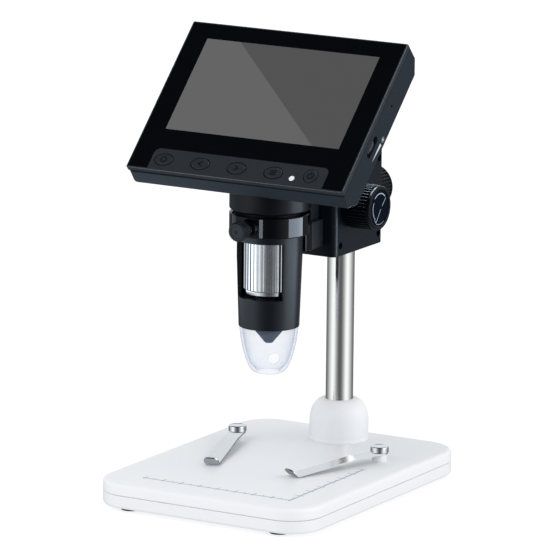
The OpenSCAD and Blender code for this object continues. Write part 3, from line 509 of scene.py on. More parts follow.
def metal(name, colour, rough, grain, grainSize, mottle, stretch=(1, 1, 1)):
    made, root = material(name)
    streak = noise(root, grainSize, stretch)
    cloud = noise(root, 9)
    tone = (streak * 0.6 + cloud * 0.4).blend(shaded(colour, 1 - mottle), shaded(colour, 1 + mottle))
    normal = root.node("Bump", None, {"Strength": 0.4, "Distance": grain * mm, "Height": streak})
    return surface(made, root, {
        "Base Color": tone, "Metallic": 1.0, "Roughness": streak * 0.08 + cloud * 0.05 + (rough - 0.06),
        "Normal": normal})


def ink(name, colour, rough=0.5, specular=0.5):
    made, root = material(name)
    tone = noise(root, 0.5).blend(shaded(colour, 0.9), shaded(colour, 1.08))
    return surface(made, root, {"Base Color": tone, "Roughness": rough, "Specular IOR Level": specular})


# the picture's two greys meet at a slanting line from its top edge: the lighter left grey is a painted glare
# across the screen
picture = {
    "size": (95, 53.9), "middle": 7.3, "splitTop": -29.3, "slant": 62 / 53.9, "sharpness": 1500,
    "left": (0.113, 0.113, 0.113), "right": (0.076, 0.076, 0.076),
    "border": ((0.0011, 0.0016, 0.0024), (0.0016, 0.0023, 0.0034)),
}


def screenGlass(p):
    # black print round the picture, and a painted glare on the picture's left part
    made, root = material("screen glass with painted glare")
    centre = Vector(axes["screen"]) * mm
    place = root.node("VectorMath", {"operation": "SUBTRACT"},
                      {0: root.node("TexCoord", out="Object"), 1: centre})
    place = root.node("VectorRotate", {"rotation_type": "X_AXIS"},
                      {"Vector": place, "Angle": math.radians(-axes["lean"])})
    x, y, z = place.parts()
    half, tall = (size / 2 for size in p["size"])
    inPicture = (abs(x) < half * mm) * (abs(y - p["middle"] * mm) < tall * mm)
    top = p["middle"] + tall
    pastGlare = (x + (y - top * mm) * p["slant"] - p["splitTop"] * mm) * p["sharpness"]
    # painted glare: the picture is lighter left of the slanting line, darker right of it
    glareTones = pastGlare.clamped().blend(p["left"], p["right"])
    tone = inPicture.blend(noise(root, 6).blend(*p["border"]), glareTones)
    return surface(made, root, {
        "Base Color": tone, "Roughness": noise(root, 12) * 0.04 + 0.05, "Specular IOR Level": 0.35})


def clearPlastic():
    made, root = material("clear plastic")
    cloud = noise(root, 7)
    tint = cloud.blend((0.33, 0.44, 0.66), (0.40, 0.51, 0.72))
    facing = root.node("LayerWeight", None, {"Blend": 0.35}, out="Facing")
    normal = root.node("Bump", None, {"Strength": 0.2, "Distance": 0.02 * mm, "Height": noise(root, 3)})
    return surface(made, root, {
        "Base Color": tint, "Roughness": noise(root, 5) * 0.04 + 0.1, "Normal": normal,
        "Alpha": facing * facing * 0.45 + facing * 0.06 + cloud * 0.02 + 0.06, "Specular IOR Level": 0.5})


def boardGreen():
    made, root = material("circuit board")
    tracks = root.node("TexBrick", None, {
        "Vector": root.node("TexCoord", out="Object"), "Scale": 260.0,
        "Mortar Size": 0.03, "Mortar": (0.05, 0.22, 0.09, 1),
        "Color1": (0.02, 0.13, 0.05, 1), "Color2": (0.016, 0.11, 0.04, 1)})
    return surface(made, root, {"Base Color": tracks, "Roughness": noise(root, 1) * 0.1 + 0.35})


white = (0.8, 0.815, 0.84)
# plastic: name, colour, roughness, depth and size of the grain in mm, mottle, specular, coat
# metal: name, colour, roughness, depth and size of the grain in mm, mottle, stretch of the streaks
finishes = {
    "base": plastic("base plastic", white, 0.42, 0.01, 0.5, 0.012),
    "baseLower": plastic("lower base plastic", shaded(white, 0.985), 0.42, 0.01, 0.5, 0.012),
    # the collar and standoffs get the base white made 5% lighter, painted light against the shade round them
    "collar": plastic("collar plastic painted lighter", shaded(white, 1.05), 0.45, 0.014, 0.4, 0.012),
    "housing": plastic("housing plastic", (0.006, 0.0118, 0.02), 0.42, 0.02, 0.35, 0.12, 0.32),
    "neck": plastic("neck plastic", (0.0022, 0.0034, 0.0056), 0.3, 0.014, 0.35, 0.12, 0.22),
    "bezel": plastic("bezel plastic", (0.0118, 0.0158, 0.02), 0.5, 0.02, 0.35, 0.1, 0.4),
    "button": plastic("button plastic", (0.0124, 0.0163, 0.0204), 0.5, 0.015, 0.3, 0.08, 0.4),
    "ring": plastic("gloss black", (0.001, 0.0016, 0.0026), 0.06, 0.002, 1.5, 0.1, 0.2),
    "barrel": plastic("barrel plastic", (0.0034, 0.0052, 0.0082), 0.3, 0.018, 0.3, 0.1, 0.3),
    "block": plastic("block plastic", (0.003, 0.006, 0.0105), 0.34, 0.02, 0.35, 0.12, 0.2),
    "slide": plastic("slide plastic", (0.01, 0.0135, 0.018), 0.4, 0.02, 0.35),
    "knob": plastic("knob rubber", (0.0012, 0.0024, 0.0046), 0.3, 0.02, 0.3, 0.12, 0.25),
    "knobCap": plastic("knob face", (0.0012, 0.004, 0.0092), 0.3, 0.01, 0.4, 0.1, 0.03),
    "thumb": plastic("thumb screw plastic", (0.005, 0.0078, 0.0122), 0.42, 0.015, 0.3),
    "dimmer": plastic("brightness wheel plastic", (0.06, 0.064, 0.07), 0.45, 0.015, 0.3),
    "lensBody": plastic("lens barrel", (0.016, 0.019, 0.034), 0.35, 0.01, 0.3),
    "sleeve": plastic("sleeve plastic", (0.72, 0.7, 0.62), 0.5, 0.01, 0.4, 0.05),
    "endCap": plastic("end cap plastic", (0.014, 0.015, 0.017), 0.45, 0.02, 0.4),
    "rubber": plastic("foot rubber", (0.018, 0.018, 0.019), 0.75, 0.03, 0.5, 0.2, 0.3),
    "lamp": plastic("indicator window", (0.72, 0.73, 0.74), 0.4, 0.02, 0.5, 0.08),
    "wrap": plastic("battery wrap", (0.35, 0.42, 0.5), 0.35, 0.01, 0.6),
    "ribbon": plastic("ribbon cable", (0.5, 0.26, 0.06), 0.4, 0.01, 0.6),
    "ledBoard": plastic("lamp board", (0.72, 0.72, 0.7), 0.45, 0.01, 0.6, 0.08),
    "ledDome": plastic("lamp dome", (0.85, 0.83, 0.62), 0.12, 0.004, 0.5, 0.1, 0.5, 0.4),
    "panel": plastic("display panel", (0.09, 0.09, 0.095), 0.25, 0.004, 0.5, 0.08),
    "chrome": metal("chrome", (0.97, 0.925, 0.88), 0.11, 0.0008, 0.4, 0.02, (1, 1, 0.04)),
    "stud": metal("polished cap", (0.88, 0.88, 0.88), 0.05, 0.002, 0.8, 0.03),
    "leaf": metal("spring steel", (0.86, 0.86, 0.86), 0.2, 0.002, 0.3, 0.05, (1, 0.12, 1)),
    "wheel": metal("turned aluminium", (0.93, 0.95, 0.98), 0.1, 0.002, 0.9, 0.6, (1, 1, 0.02)),
    "steel": metal("screw steel", (0.52, 0.52, 0.53), 0.28, 0.004, 0.3, 0.08),
    "brass": metal("brass", (0.78, 0.58, 0.26), 0.25, 0.004, 0.3, 0.08),
    "blackSteel": metal("black screw steel", (0.1, 0.1, 0.11), 0.35, 0.004, 0.3, 0.1),
    "ruler": ink("ruler ink", (0.36, 0.39, 0.5)),
    "paleInk": ink("pale ink", (0.55, 0.6, 0.66)),
    "knobInk": ink("knob ink", (0.34, 0.43, 0.55)),
    "darkInk": ink("dark ink", (0.0016, 0.002, 0.0026), 0.5, 0.12),
    "glass": screenGlass(picture),
    "clear": clearPlastic(),
    "board": boardGreen(),
}
print("finishes made")

# base; points of a profile are radius, height and, where wanted, the corner's radius and its knurl

base = {
    "wide": 118, "deep": 156, "corner": 17, "middle": -6, "bottom": 1.5, "seam": 8, "gap": 0.1, "top": 14,
    "topRound": 2.2, "bottomRound": 1.7, "seamRound": 0.35, "core": (0.8, 0.5),
    "feet": (41, 69.5), "screws": (47, 50), "screwWell": (3.1, 0, 4.1), "boltWell": (6.8, 0, 5.5),
    "foot": [(0, 0.15), (3.2, 0.15, 0.3), (3.5, 0, 0.1), (4.6, 0, 0.4), (5, 0.5, 0.4), (5, 2.3), (0, 2.3)],
}


def baseOutline(b, inset=0):
    return slabOutline(b["wide"] - 2 * inset, b["deep"] - 2 * inset, b["corner"] - inset, 0, b["middle"], 14)


def makeBase(b):
    outline, seam, gap = baseOutline(b), b["seam"], b["gap"]
    upper = prism(outline, seam + gap, b["top"], edge=b["topRound"], lowEdge=b["seamRound"], steps=6)
    lower = prism(outline, b["bottom"], seam - gap, edge=b["seamRound"], lowEdge=b["bottomRound"], steps=6)
    inset, half = b["core"]
    core = prism(baseOutline(b, inset), seam - half, seam + half, edge=0)
    screws, feet = ([moved(x, y + b["middle"]) for x in (-across, across) for y in (-along, along)]
                    for across, along in (b["screws"], b["feet"]))
    wells = [rod(*b["screwWell"], place) for place in screws] + [rod(*b["boltWell"], postAxis)]
    piece("baseTop", [upper, core], "base", "base", ["base_top_shell"])
    piece("baseBottom", [lower], "baseLower", "base", ["base_bottom_shell"], cuts=[wells])
    piece("feet", [revolve(b["foot"], place, 40) for place in feet], "rubber", "base",
          ["rubber_feet"])


ruler = {
    "long": (-39.2, 42, -67.6), "short": (42, -67.6, 2.4), "line": 0.8, "tick": 0.5, "step": 5,
    "major": (-1.6, 3), "minor": (-0.4, 1.4), "sink": 0.05, "lift": 0.03,
}


def makeRuler(r):
    z0, z1 = base["top"] - r["sink"], base["top"] + r["lift"]
    x0, x1, y0 = r["long"]
    x2, y2, y3 = r["short"]
    half, thin, step = r["line"] / 2, r["tick"] / 2, r["step"]
    marks = [block((x0, y0 - half, z0), (x1, y0 + half, z1)), block((x2 - half, y2, z0), (x2 + half, y3, z1))]
    for i in range(int((x1 - x0) / step) + 1):
        low, high = r["minor" if i % 2 else "major"]
        x = x1 - step * i
        marks.append(block((x - thin, y0 + low, z0), (x + thin, y0 + high, z1)))
    for i in range(1, int((y3 - y2) / step) + 1):
        low, high = r["minor" if i % 2 else "major"]
        y = y2 + step * i
        marks.append(block((x2 - high, y - thin, z0), (x2 - low, y + thin, z1)))
    piece("rulers", marks, "ruler", "base")


collar = {"foot": (14.8, 14.9), "radius": 14.5, "shoulder": 15.8, "top": 34.5, "dome": (6.9, 11),
          "bore": 6.77}


def makeCollar(c):
    bore, low, top = c["bore"], base["top"], c["top"]
    foot, footTop = c["foot"]
    wide, tall = c["dome"]
    turns = [math.pi / 2 * i / 16 for i in range(17)]
    dome = [(c["radius"] - wide * (1 - math.cos(t)), top - tall * (1 - math.sin(t))) for t in turns]
    profile = [(bore, low), (foot, low, 0.1), (foot, footTop, 0.4), (c["radius"], c["shoulder"], 0.8), *dome,
               (bore + 0.15, top - 0.05), (bore, top - 0.2)]
    piece("collar", [revolve(profile, postAxis, 96, True, steps=6)], "collar", "base",
          ["post_collar"])


post = {
    "profile": [(0, 14), (6.75, 14), (6.75, 184, 0.3), (0, 184)],
    "cap": [(0, 178), (5.5, 178), (5.5, 184.05), (6.75, 184.05, 0.15), (6.75, 185.3, 0.4), (5.35, 186.5, 1),
            (0, 186.5)],
}


makeBase(base)
makeRuler(ruler)
makeCollar(collar)
piece("post", [revolve(post["profile"], postAxis, 96)], "chrome", "base", ["post"])
piece("postCap", [revolve(post["cap"], postAxis, 72)], "endCap", "base", ["post_end_cap"])
print("stand made")

# stage clips, each on its pivot

clip = {
    "line": [(-4, 3.8), (15, 3.8, 45), (53, 0.5, 1.3), (57.1, 4.2)], "thick": 0.6, "half": 3.7, "end": 4,
    "endTurns": (4, 18, 32, 46, 60, 75), "step": 1.6, "tip": 1.5, "tipRound": 2.3,
    "pivot": (40, 21.7), "toeIn": {-1: 17.5, 1: 21},
    "standoff": [(1.56, 14), (3.75, 14, 0.1), (3.65, 14.5, 0.3), (3.65, 17.8, 0.3), (1.56, 17.8)],
    "stud": [(0, 10.3), (2.6, 10.3, 0.1), (2.6, 11.3), (1.5, 11.3), (1.5, 18.4), (4.1, 18.4, 0.15),
             (4.4, 18.75, 0.25), (4.4, 21.6, 0.9), (3.3, 21.6, 0.3), (3, 21.45, 0.2), (0, 21.5)],
}


def leafSolid(c, place):
    # the side line in short steps, which are closer at the round end and at the tip
    line = [p[:2] for p in roundCorners(c["line"], False, 10)]
    dense = []
    for (x0, z0), (x1, z1) in zip(line, line[1:]):
        count = max(1, int(math.hypot(x1 - x0, z1 - z0) / c["step"]))
        dense += [(x0 + (x1 - x0) * i / count, z0 + (z1 - z0) * i / count) for i in range(count)]
    end, height = c["end"], c["line"][0][1]
    head = [(-end + end * (1 - math.cos(math.radians(a))), height) for a in c["endTurns"]]
    dense = head + [p for p in dense if p[0] > head[-1][0] + 0.3]
    (ax, az), (bx, bz) = line[-2], line[-1]
    for back in [(1 - s) * c["tip"] for s in (0, 0.45, 0.75, 0.92, 1)]:
        dense.append((bx - back, bz - back * (bz - az) / (bx - ax)))
    dense = sorted(dict.fromkeys(dense))
    last = dense[-1][0]
    rings = []
    for i, (x, z) in enumerate(dense):
        x0, z0 = dense[max(0, i - 1)]
        x1, z1 = dense[min(len(dense) - 1, i + 1)]
        slope = Vector((x1 - x0, z1 - z0)).normalized()
        up = Vector((-slope.y, slope.x)) * c["thick"]
        half = c["half"]
        if x < 1.2:
            least = 0.4 if x < 0 else c["half"]
            half = max(least, math.sqrt(max(0, end ** 2 - x * x)))
        if x > last - c["tipRound"]:
            drop = c["tipRound"] - (last - x)
            half -= c["tipRound"] - math.sqrt(max(0, c["tipRound"] ** 2 - drop * drop)) * 0.999
        rings.append([(x, -half, z), (x, half, z), (x + up.x, half, z + up.y), (x + up.x, -half, z + up.y)])
    return loft(rings, place)


def makeClips(c):
    across, y = c["pivot"]
    standoffs = [revolve(c["standoff"], moved(x, y), 48, True) for x in (-across, across)]
    piece("standoffs", standoffs, "collar", "base", ["clip_standoffs"])
    for side, name in ((-1, "left"), (1, "right")):
        x = across * side
        place = moved(x, y, base["top"]) @ turned(-90 - side * c["toeIn"][side], "Z")
        piece(name + "Leaf", [leafSolid(c, place)], "leaf", name + "_clip", [name + "_clip_leaf"],
              smooth=28)
        piece(name + "Stud", [revolve(c["stud"], moved(x, y), 64)], "stud", name + "_clip",
              [name + "_clip_stud"])


makeClips(clip)
print("clips made")

# carriage block

carriage = {
    "x": 15, "y": (19.8, 66.8), "z": (111.7, 159.4), "corner": 3, "edge": 0.4, "seam": 0.6, "bore": 7.2,
    "split": 0.04,
    # half width, then front and back measured from the block's front
    "channel": [(5.15, -1, 4.3), (8.15, 4.05, 7.75)], "channelZ": (119.7, 152.8),
    "screwWell": (1.8, 3, 9), "screwX": 8, "screwPlaces": [(25, 116.9), (62.1, 116.9), (62.1, 154.2)],
}


def makeBlock(c):
    (y0, y1), (z0, z1), (low, high) = c["y"], c["z"], c["channelZ"]
    channel = [[block((-half, y0 + near, low), (half, y0 + far, high))] for half, near, far in c["channel"]]
    heads = [rod(*c["screwWell"], moved(c["screwX"], y, z) @ turned(90, "Y")) for y, z in c["screwPlaces"]]
    turns = [math.radians(90 - 180 * i / 24) for i in range(25)]
    split, middle = c["split"], axes["post"][1]
    for side, name in ((-1, "Left"), (1, "Right")):
        corners = outlineOf([(split * side, y0, c["seam"]), (c["x"] * side, y0, c["corner"]),
                             (c["x"] * side, y1, c["corner"]), (split * side, y1, c["seam"])], 8)
        bore = [((split + c["bore"] * math.cos(t)) * side, middle + c["bore"] * math.sin(t)) for t in turns]
        piece("block" + name, [prism(corners + bore, z0, z1, edge=c["edge"])], "block", "carriage",
              ["carriage_" + name.lower() + "_half"],
              cuts=channel + ([heads] if side > 0 else []))


makeBlock(carriage)

# knobs

knob = {
    "radius": 11, "length": 15.5, "ribs": 40, "depth": 0.75, "rim": 1.5, "face": 8.9, "recess": 0.9,
    "start": 15.5, "axis": (35.07, 135.5), "clampLength": 16.5, "clampPlace": (0, 67.5, 135.5),
    "cap": [(0, 14.3), (8.75, 14.3), (8.75, 15.1, 0.25), (8.2, 15.2, 0.2), (0, 15.2)],
    "clampCap": [(0, 15.4), (8.75, 15.4), (8.75, 16.1, 0.25), (6.4, 16.2, 0.2), (6.2, 16, 0.1), (0, 16)],
    # two curved arrows: arcs by radius, width and angles, then straight barbs
    "arcs": [(7.1, 0.55, 45, 132), (6.5, 0.42, 150, 228), (8, 0.22, 245, 300)],
    "barbs": [[(-4.7, -5.2), (-3.5, -6.9), (1, -0.75)], [(2.4, 0.75), (5.8, 4.25)]],
    "barb": 0.34, "signZ": (15.15, 15.24),
}


def knobSolid(k, length, place):
    r, rim, face, low = k["radius"], length - k["rim"], k["face"], length - k["recess"]
    profile = [(0, 0.02), (r - 2, 0.02), (r - 0.5, 0.02, 0.4, 0.4), (r, 0.7, 0.4, 1),
               (r, rim - 0.7, 0.3, 1), (r - 0.75, rim - 0.5, 0.15), (r - 0.75, rim - 0.2, 0.15),
               (r - 0.2, rim, 0.2), (r - 0.2, length - 0.5, 0.4), (r - 0.7, length, 0.3),
               (face + 0.35, length, 0.3), (face, length - 0.25, 0.2), (face, low), (0, low)]
    return knurled(k, profile, place, 10)


def turnSigns(k, place):
    arcs = [ringStroke(radius, wide, place, *k["signZ"], *span) for radius, wide, *span in k["arcs"]]
    return sum([stroke(line, k["barb"], place, *k["signZ"]) for line in k["barbs"]], arcs)


def makeKnobs(k):
    caps, arrows = [], []
    for side, name in ((-1, "left"), (1, "right")):
        place = moved(k["start"] * side, *k["axis"]) @ turned(90 * side, "Y")
        piece(name + "FocusKnob", [knobSolid(k, k["length"], place)], "knob", "focus_pinion",
              [name + "_focus_knob"], smooth=42)
        caps.append(revolve(k["cap"], place, 72))
        arrows += turnSigns(k, place @ turned(90 * side, "Z"))
    piece("knobFaces", caps, "knobCap", "focus_pinion", ["knob_caps"])
    piece("knobArrows", arrows, "knobInk", "focus_pinion")
    back = moved(*k["clampPlace"]) @ turned(-90, "X")
    piece("clampKnob", [knobSolid(k, k["clampLength"], back)], "knob", "clamp_knob_body",
          ["clamp_knob"], smooth=42)
    piece("clampKnobFace", [revolve(k["clampCap"], back, 72)], "knobCap", "clamp_knob_body")


makeKnobs(knob)
print("carriage and knobs made")

# focus slide and ring clamp

slide = {
    "arm": ((-8.5, 8.7, 117), (8.5, 19.45, 130.5), 0.45), "lug": ((-6, 8.7, 128), (6, 19.45, 139.5), 0.45),
    "neck": ((-5, 18, 121), (5, 24.5, 139.5), 0.1), "flange": ((-8, 24.05, 121), (8, 27.35, 139.5), 0.1),
}
piece("focusArm", [block(*part) for part in slide.values()], "slide", "focus_slide_body",
      ["focus_slide"])

ring = {
    "hoop": [(15.82, 129.5, 0.3), (19.5, 129.5, 0.55), (19.5, 139.5, 0.55), (15.82, 139.5, 0.3)],
    "plate": ((-8.5, 2.65, 117), (8.5, 8.6, 130.5), 0.5), "lug": ((-6, 0.5, 129.6), (6, 8.6, 139.4), 0.5),
    "bossZ": 134.5,
    "boss": [(0, 17), (4.6, 17), (4.6, 20.2, 0.6), (4.2, 20.8, 0.3), (4.2, 24.9, 0.4), (3.4, 24.9)],
}


def makeRing(r):
    hoop = revolve(r["hoop"], optic, 128, True)
    boss = revolve(r["boss"], optic @ moved(0, 0, r["bossZ"]) @ turned(90, "X"), 56)
    piece("ringClamp", [hoop, block(*r["plate"]), block(*r["lug"]), boss], "ring",
          "focus_slide_body", ["ring_clamp"])


thumb = {
    "place": (0, -42.6, 134.5), "ribs": 28, "depth": 0.5,
    "profile": [(0, 0), (4.2, 0, 0.2), (4.75, 0.5, 0.3, 1), (4.75, 5.2, 0.3, 1), (3.9, 6, 0.4),
                (3.1, 6, 0.2), (2.9, 5.75, 0.15), (0.9, 5.75, 0.2), (0.5, 5.4, 0.2), (0, 5.35)],
}


def makeThumbScrew(t):
    head = knurled(t, t["profile"], moved(*t["place"]) @ turned(90, "X"), 8)
    piece("thumbScrew", [head], "thumb", "thumb_screw", ["thumb_screw_head"], smooth=42)


makeRing(ring)
makeThumbScrew(thumb)
print("ring clamp made")

# barrel

barrel = {
    "foot": 83.8, "top": 156, "taper": 118, "radius": 15.75, "footRadius": 14.6, "wall": 1.75,
    "inside": [(13.3, 156), (13.3, 98.5), (8.1, 98.5), (8.1, 90.8), (12.85, 90.8)],
    "window": (98.5, 126), "windowHalf": 56, "reach": 30,
}


def makeBarrel(b):
    r, foot, low = b["radius"], b["footRadius"], b["foot"]
    shell = revolve([(foot - b["wall"], low, 0.2), (foot, low, 0.35), (r, b["taper"], 30), (r, b["top"]),
                     *b["inside"]], optic, 128, True, steps=6)
    a = math.radians(b["windowHalf"])
    turns = [-a + 2 * a * i / 6 for i in range(7)]
    wedge = [(0, 0)] + [(b["reach"] * math.sin(t), -b["reach"] * math.cos(t)) for t in turns]
    piece("barrelTube", [shell], "barrel", "head", ["barrel_tube"],
          cuts=[[prism(wedge, *b["window"], optic, 0)]], bevel=0.22)


focusWheel = {
    "profile": [(7.6, 96.9), (8, 96.9), (8, 98.7), (10.4, 98.8, 0.4), (11.9, 99.8, 0.9),
                (12.05, 101.6, 0.6), (12.05, 102, 0.1), (12.4, 102.3, 0.2, 1), (12.4, 126.6, 0.3, 1),
                (11.9, 127.2, 0.2), (11.2, 127.7, 0.3), (8, 127.7), (8, 129.6), (7.6, 129.6)],
    "ribs": 36, "depth": 0.5,
}


def makeFocusWheel(w):
    wheel = knurled(w, w["profile"], optic, 12, True)
    piece("focusWheel", [wheel], "wheel", "focus_wheel_body", ["focus_wheel"], smooth=50)


lensProfile = [(1.1, 75.4, 0.1), (1.9, 75.4, 0.25), (6.5, 81, 0.5), (6.5, 95), (7.5, 95, 0.2),
               (7.5, 121, 0.2), (5.2, 121), (5.2, 84), (2.5, 84)]


cap = {
    "line": [(14.31, 83.8), (13.95, 80.6), (13.5, 77.4), (12.95, 74.4), (12.26, 71.5), (11.35, 68.4),
             (10.3, 65.6), (9.4, 63.6), (8.3, 62.1), (7.2, 61.3), (6.6, 61)],
    "wall": 1.35, "rim": [(12.7, 83.8), (12.7, 88.3, 0.3), (11.35, 88.3, 0.3)],
    "mouth": (5.6, 61, 62), "floor": 0.7, "extraWall": 0.35,
    "hole": (2.95, 4, 20), "holeZ": 69.9, "holeAzimuth": 44,
}


def smoothLine(points, steps=3):
    # the same line with points between, on a curve through all of them
    out = []
    for i in range(len(points) - 1):
        p = [Vector(points[min(max(j, 0), len(points) - 1)]) for j in (i - 1, i, i + 1, i + 2)]
        for s in range(steps):
            t = s / steps
            out.append(tuple(0.5 * (2 * p[1] + (p[2] - p[0]) * t
                                    + (2 * p[0] - 5 * p[1] + 4 * p[2] - p[3]) * t * t
                                    + (3 * p[1] - p[0] - 3 * p[2] + p[3]) * t ** 3)))
    return out + [points[-1]]


def makeLightCap(c):
    # the inside line follows the outside one, thicker near the mouth and under the rim
    outside, inside = smoothLine(c["line"]), []
    for r, z in outside:
        if z > 62.6:
            inner = r - c["wall"] - (c["extraWall"] if z < 65 else 0)
            inside.append((inner, z + (c["floor"] if z < 64 else 0)))
    lip = c["rim"][-1][0]
    profile = c["rim"] + [(min(r, lip) if z > 82 else r, z) for r, z in inside]
    mouth, low, high = c["mouth"]
    profile += [(mouth, high, 0.3), (mouth, low, 0.3)] + outside[::-1]
    across = optic @ moved(0, 0, c["holeZ"]) @ turned(c["holeAzimuth"], "Z") @ turned(90, "X")
    piece("lightCap", [revolve(profile, optic, 120, True)], "clear", "light_cap_body", ["light_cap"],
          cuts=[[rod(*c["hole"], across)]], bevel=0.12, smooth=50)


makeBarrel(barrel)
makeFocusWheel(focusWheel)
piece("lensBarrel", [revolve(lensProfile, optic, 72, True)], "lensBody", "lens_body", ["lens_carrier"])
makeLightCap(cap)
print("barrel made")

# screen housing

housing = {
    "wide": 118.7, "tall": 87.2, "corner": 0.8, "edge": 0.45, "rim": 0.8, "keypad": (95.5, -31, 3),
    # the side outline by height and depth; its first and last points lie behind the bezel
    "side": [(43.35, -3, 0.12), (42.9, -10.5, 1.1), (37.1, -16.3, 1.1), (-38.6, -16.3, 1.1),
             (-45.4, -9.9, 1.1), (-44.1, -3, 0.12)],
    "leftRound": 3.2, "markDepth": 0.05, "core": (0.5, 3.1, -3.3, -2.4),
    "neck": [(0, 140.6), (18.5, 140.6, 0.4), (19.5, 141.6, 0.5), (19.5, 200), (0, 200)], "neckTop": 190.6,
    "wells": (55, (31, -33)), "well": (3, -20, -13.1),
    "wheel": (-11.6, -7.7), "slot": (12.1, 3.6, 1.799), "pin": (0.7, -3, 3), "pinPlace": (13.3, -8.7),
    # socket mouths in the left side: width, height, corner, place and depth
    "sockets": [(8, 3.2, 1, 12, -8.1, 12), (12, 2, 0.5, -8, -8.7, 15)],
    "bezel": (-2.85, 0), "pocket": (-0.95, 1), "glass": (-0.9, -0.03), "openings": (-4, 1),
    "keyForm": (1.9, -3.75, -2.95, 0.24),  # flange's extra width, its bottom and top, the cap's top
    "key": (9.7, 6.2), "keyHole": (10.5, 7.1), "powerKey": 3.55, "powerHole": 3.9, "lampHole": 1.5,
    "buttons": [-40.8, -20.75, -0.7, 19.35], "buttonY": -37.1, "power": (39.4, -36.4),
    "lamp": (30.1, -38.9),
    "lampProfile": [(0, -2.8), (1.45, -2.8), (1.45, 0.02, 0.2), (0.9, 0.1, 0.3), (0, 0.14)],
}


def glassOutline(h, inset=0):
    w, t = h["wide"] / 2 - h["rim"] - inset, h["tall"] / 2 - h["rim"] - inset
    half, top, radius = h["keypad"][0] / 2 + inset, h["keypad"][1] + inset, h["keypad"][2]
    return outlineOf([(-w, -t, 0.6), (-half, -t, 0.2), (-half, top, radius), (half, top, radius),
                      (half, -t, 0.2), (w, -t, 0.6), (w, t, 0.6), (-w, t, 0.6)], 6)


def shellSolid(h):
    # the side outline drawn along X; its left end is well rounded, except behind the bezel
    half, turns = h["wide"] / 2, [math.pi / 2 * i / 8 for i in range(9)]
    levels = [(h["leftRound"] * (1 - math.sin(t)), h["leftRound"] * (1 - math.cos(t)) - half) for t in turns]
    right = half - h["markDepth"]
    levels += [(h["edge"] * (1 - math.cos(t)), right - h["edge"] * (1 - math.sin(t))) for t in turns[::2]]
    rings, front = [], h["side"][0][1]
    for inset, x in levels:
        corners = []
        for (_, depth, radius), (y, z) in zip(h["side"], insetOf([p[:2] for p in h["side"]], inset)):
            corners.append((y, depth if depth == front else z, max(0.12, radius - inset)))
        rings.append([(*p, x) for p in outlineOf(corners, 5)])
    return loft(rings, screen @ alongX)


def makeHousing(h):
    half = h["wide"] / 2
    points, faces = revolve(h["neck"], optic, 112)
    # the neck's top is pressed down to a plane inside the leaning housing
    points = [Vector((p.x, p.y, min(p.z, p.y + h["neckTop"]))) for p in points]
    less, corner, low, high = h["core"]
    core = prism(slabOutline(h["wide"] - less, h["tall"] - less, corner), low, high, screen, 0)
    across, along = h["wells"]
    wells = [rod(*h["well"], screen @ moved(x, y)) for x in (-across, across) for y in along]
    facing = screen @ moved(half, *h["wheel"]) @ turned(90, "Z") @ turned(90, "X")
    slot = prism(slabOutline(*h["slot"], steps=10), -3, 3, facing, 0)
    pin = rod(*h["pin"], screen @ moved(half, *h["pinPlace"]) @ turned(90, "Y"))
    sockets = []
    for wide, tall, radius, y, z, deep in h["sockets"]:
        facing = screen @ moved(-half, y, z) @ turned(-90, "Y") @ turned(90, "Z")
        sockets.append([prism(slabOutline(wide, tall, radius), -deep, 3, facing, 0)])
    piece("rearShell", [shellSolid(h)], "housing", "head", ["rear_shell"],
          cuts=[wells, [slot], [pin], *sockets])
    piece("neck", [(points, faces)], "neck", "head")
    piece("seamCore", [core], "housing", "head")


def makeBezel(h):
    plate = prism(slabOutline(h["wide"], h["tall"], h["corner"]), *h["bezel"], screen, 0.3, 0.12, 1)
    pocket = prism(glassOutline(h, -0.04), *h["pocket"], screen, 0)
    holes = [prism(ellipseOutline(*h["keyHole"], x, h["buttonY"]), *h["openings"], screen, 0)
             for x in h["buttons"]]
    holes.append(rod(h["powerHole"], *h["openings"], screen @ moved(*h["power"])))
    holes.append(rod(h["lampHole"], *h["openings"], screen @ moved(*h["lamp"])))
    piece("bezel", [plate], "bezel", "head", ["front_bezel"],
          cuts=[[pocket], holes], bevel=0.2)
    piece("screenGlass", [prism(glassOutline(h, 0.02), *h["glass"], screen, 0.12, 0.05)], "glass",
          "head", ["cover_glass"])
    piece("indicator", [revolve(h["lampProfile"], screen @ moved(*h["lamp"]), 32)], "lamp", "head",
          ["status_light"])


# signs by key, as lines and as rings (radius, width, start, end)
signs = {
    "names": ("capture", "down", "up", "menu"), "line": 0.5, "z": (0.1, 0.27),
    "lines": {"down": [[(0.9, 1.1), (-0.9, 0), (0.9, -1.1)]], "up": [[(-0.9, 1.1), (0.9, 0), (-0.9, -1.1)]],
              "menu": [[(-1.4, y), (1.4, y)] for y in (-1, 0, 1)], "power": [[(0, 0.5), (0, 1.8)]]},
    "rings": {"capture": (1.4, 0.5, 0, 360), "power": (1.5, 0.5, 125, 415)},
}


def makeButtons(h, s):
    # caps with their signs inlaid in dark ink
    places = {name: screen @ moved(x, h["buttonY"]) for name, x in zip(s["names"], h["buttons"])}
    places["power"] = screen @ moved(*h["power"])
    for name, place in places.items():
        wide, tall = (2 * h["powerKey"],) * 2 if name == "power" else h["key"]
        wider, foot, step, top = h["keyForm"]
        solid = prism(ellipseOutline(wide, tall), foot, top, place, 0.45, 0)
        flange = prism(ellipseOutline(wide + wider, tall + wider), foot, step, place, 0)
        piece(name + "Key", [solid, flange], "button", name + "_button_body", [name + "_button"])
        marks = sum([stroke(line, s["line"], place, *s["z"]) for line in s["lines"].get(name, [])], [])
        if name in s["rings"]:
            radius, thick, *span = s["rings"][name]
            marks.append(ringStroke(radius, thick, place, *s["z"], *span))
        piece(name + "Sign", marks, "darkInk", name + "_button_body")


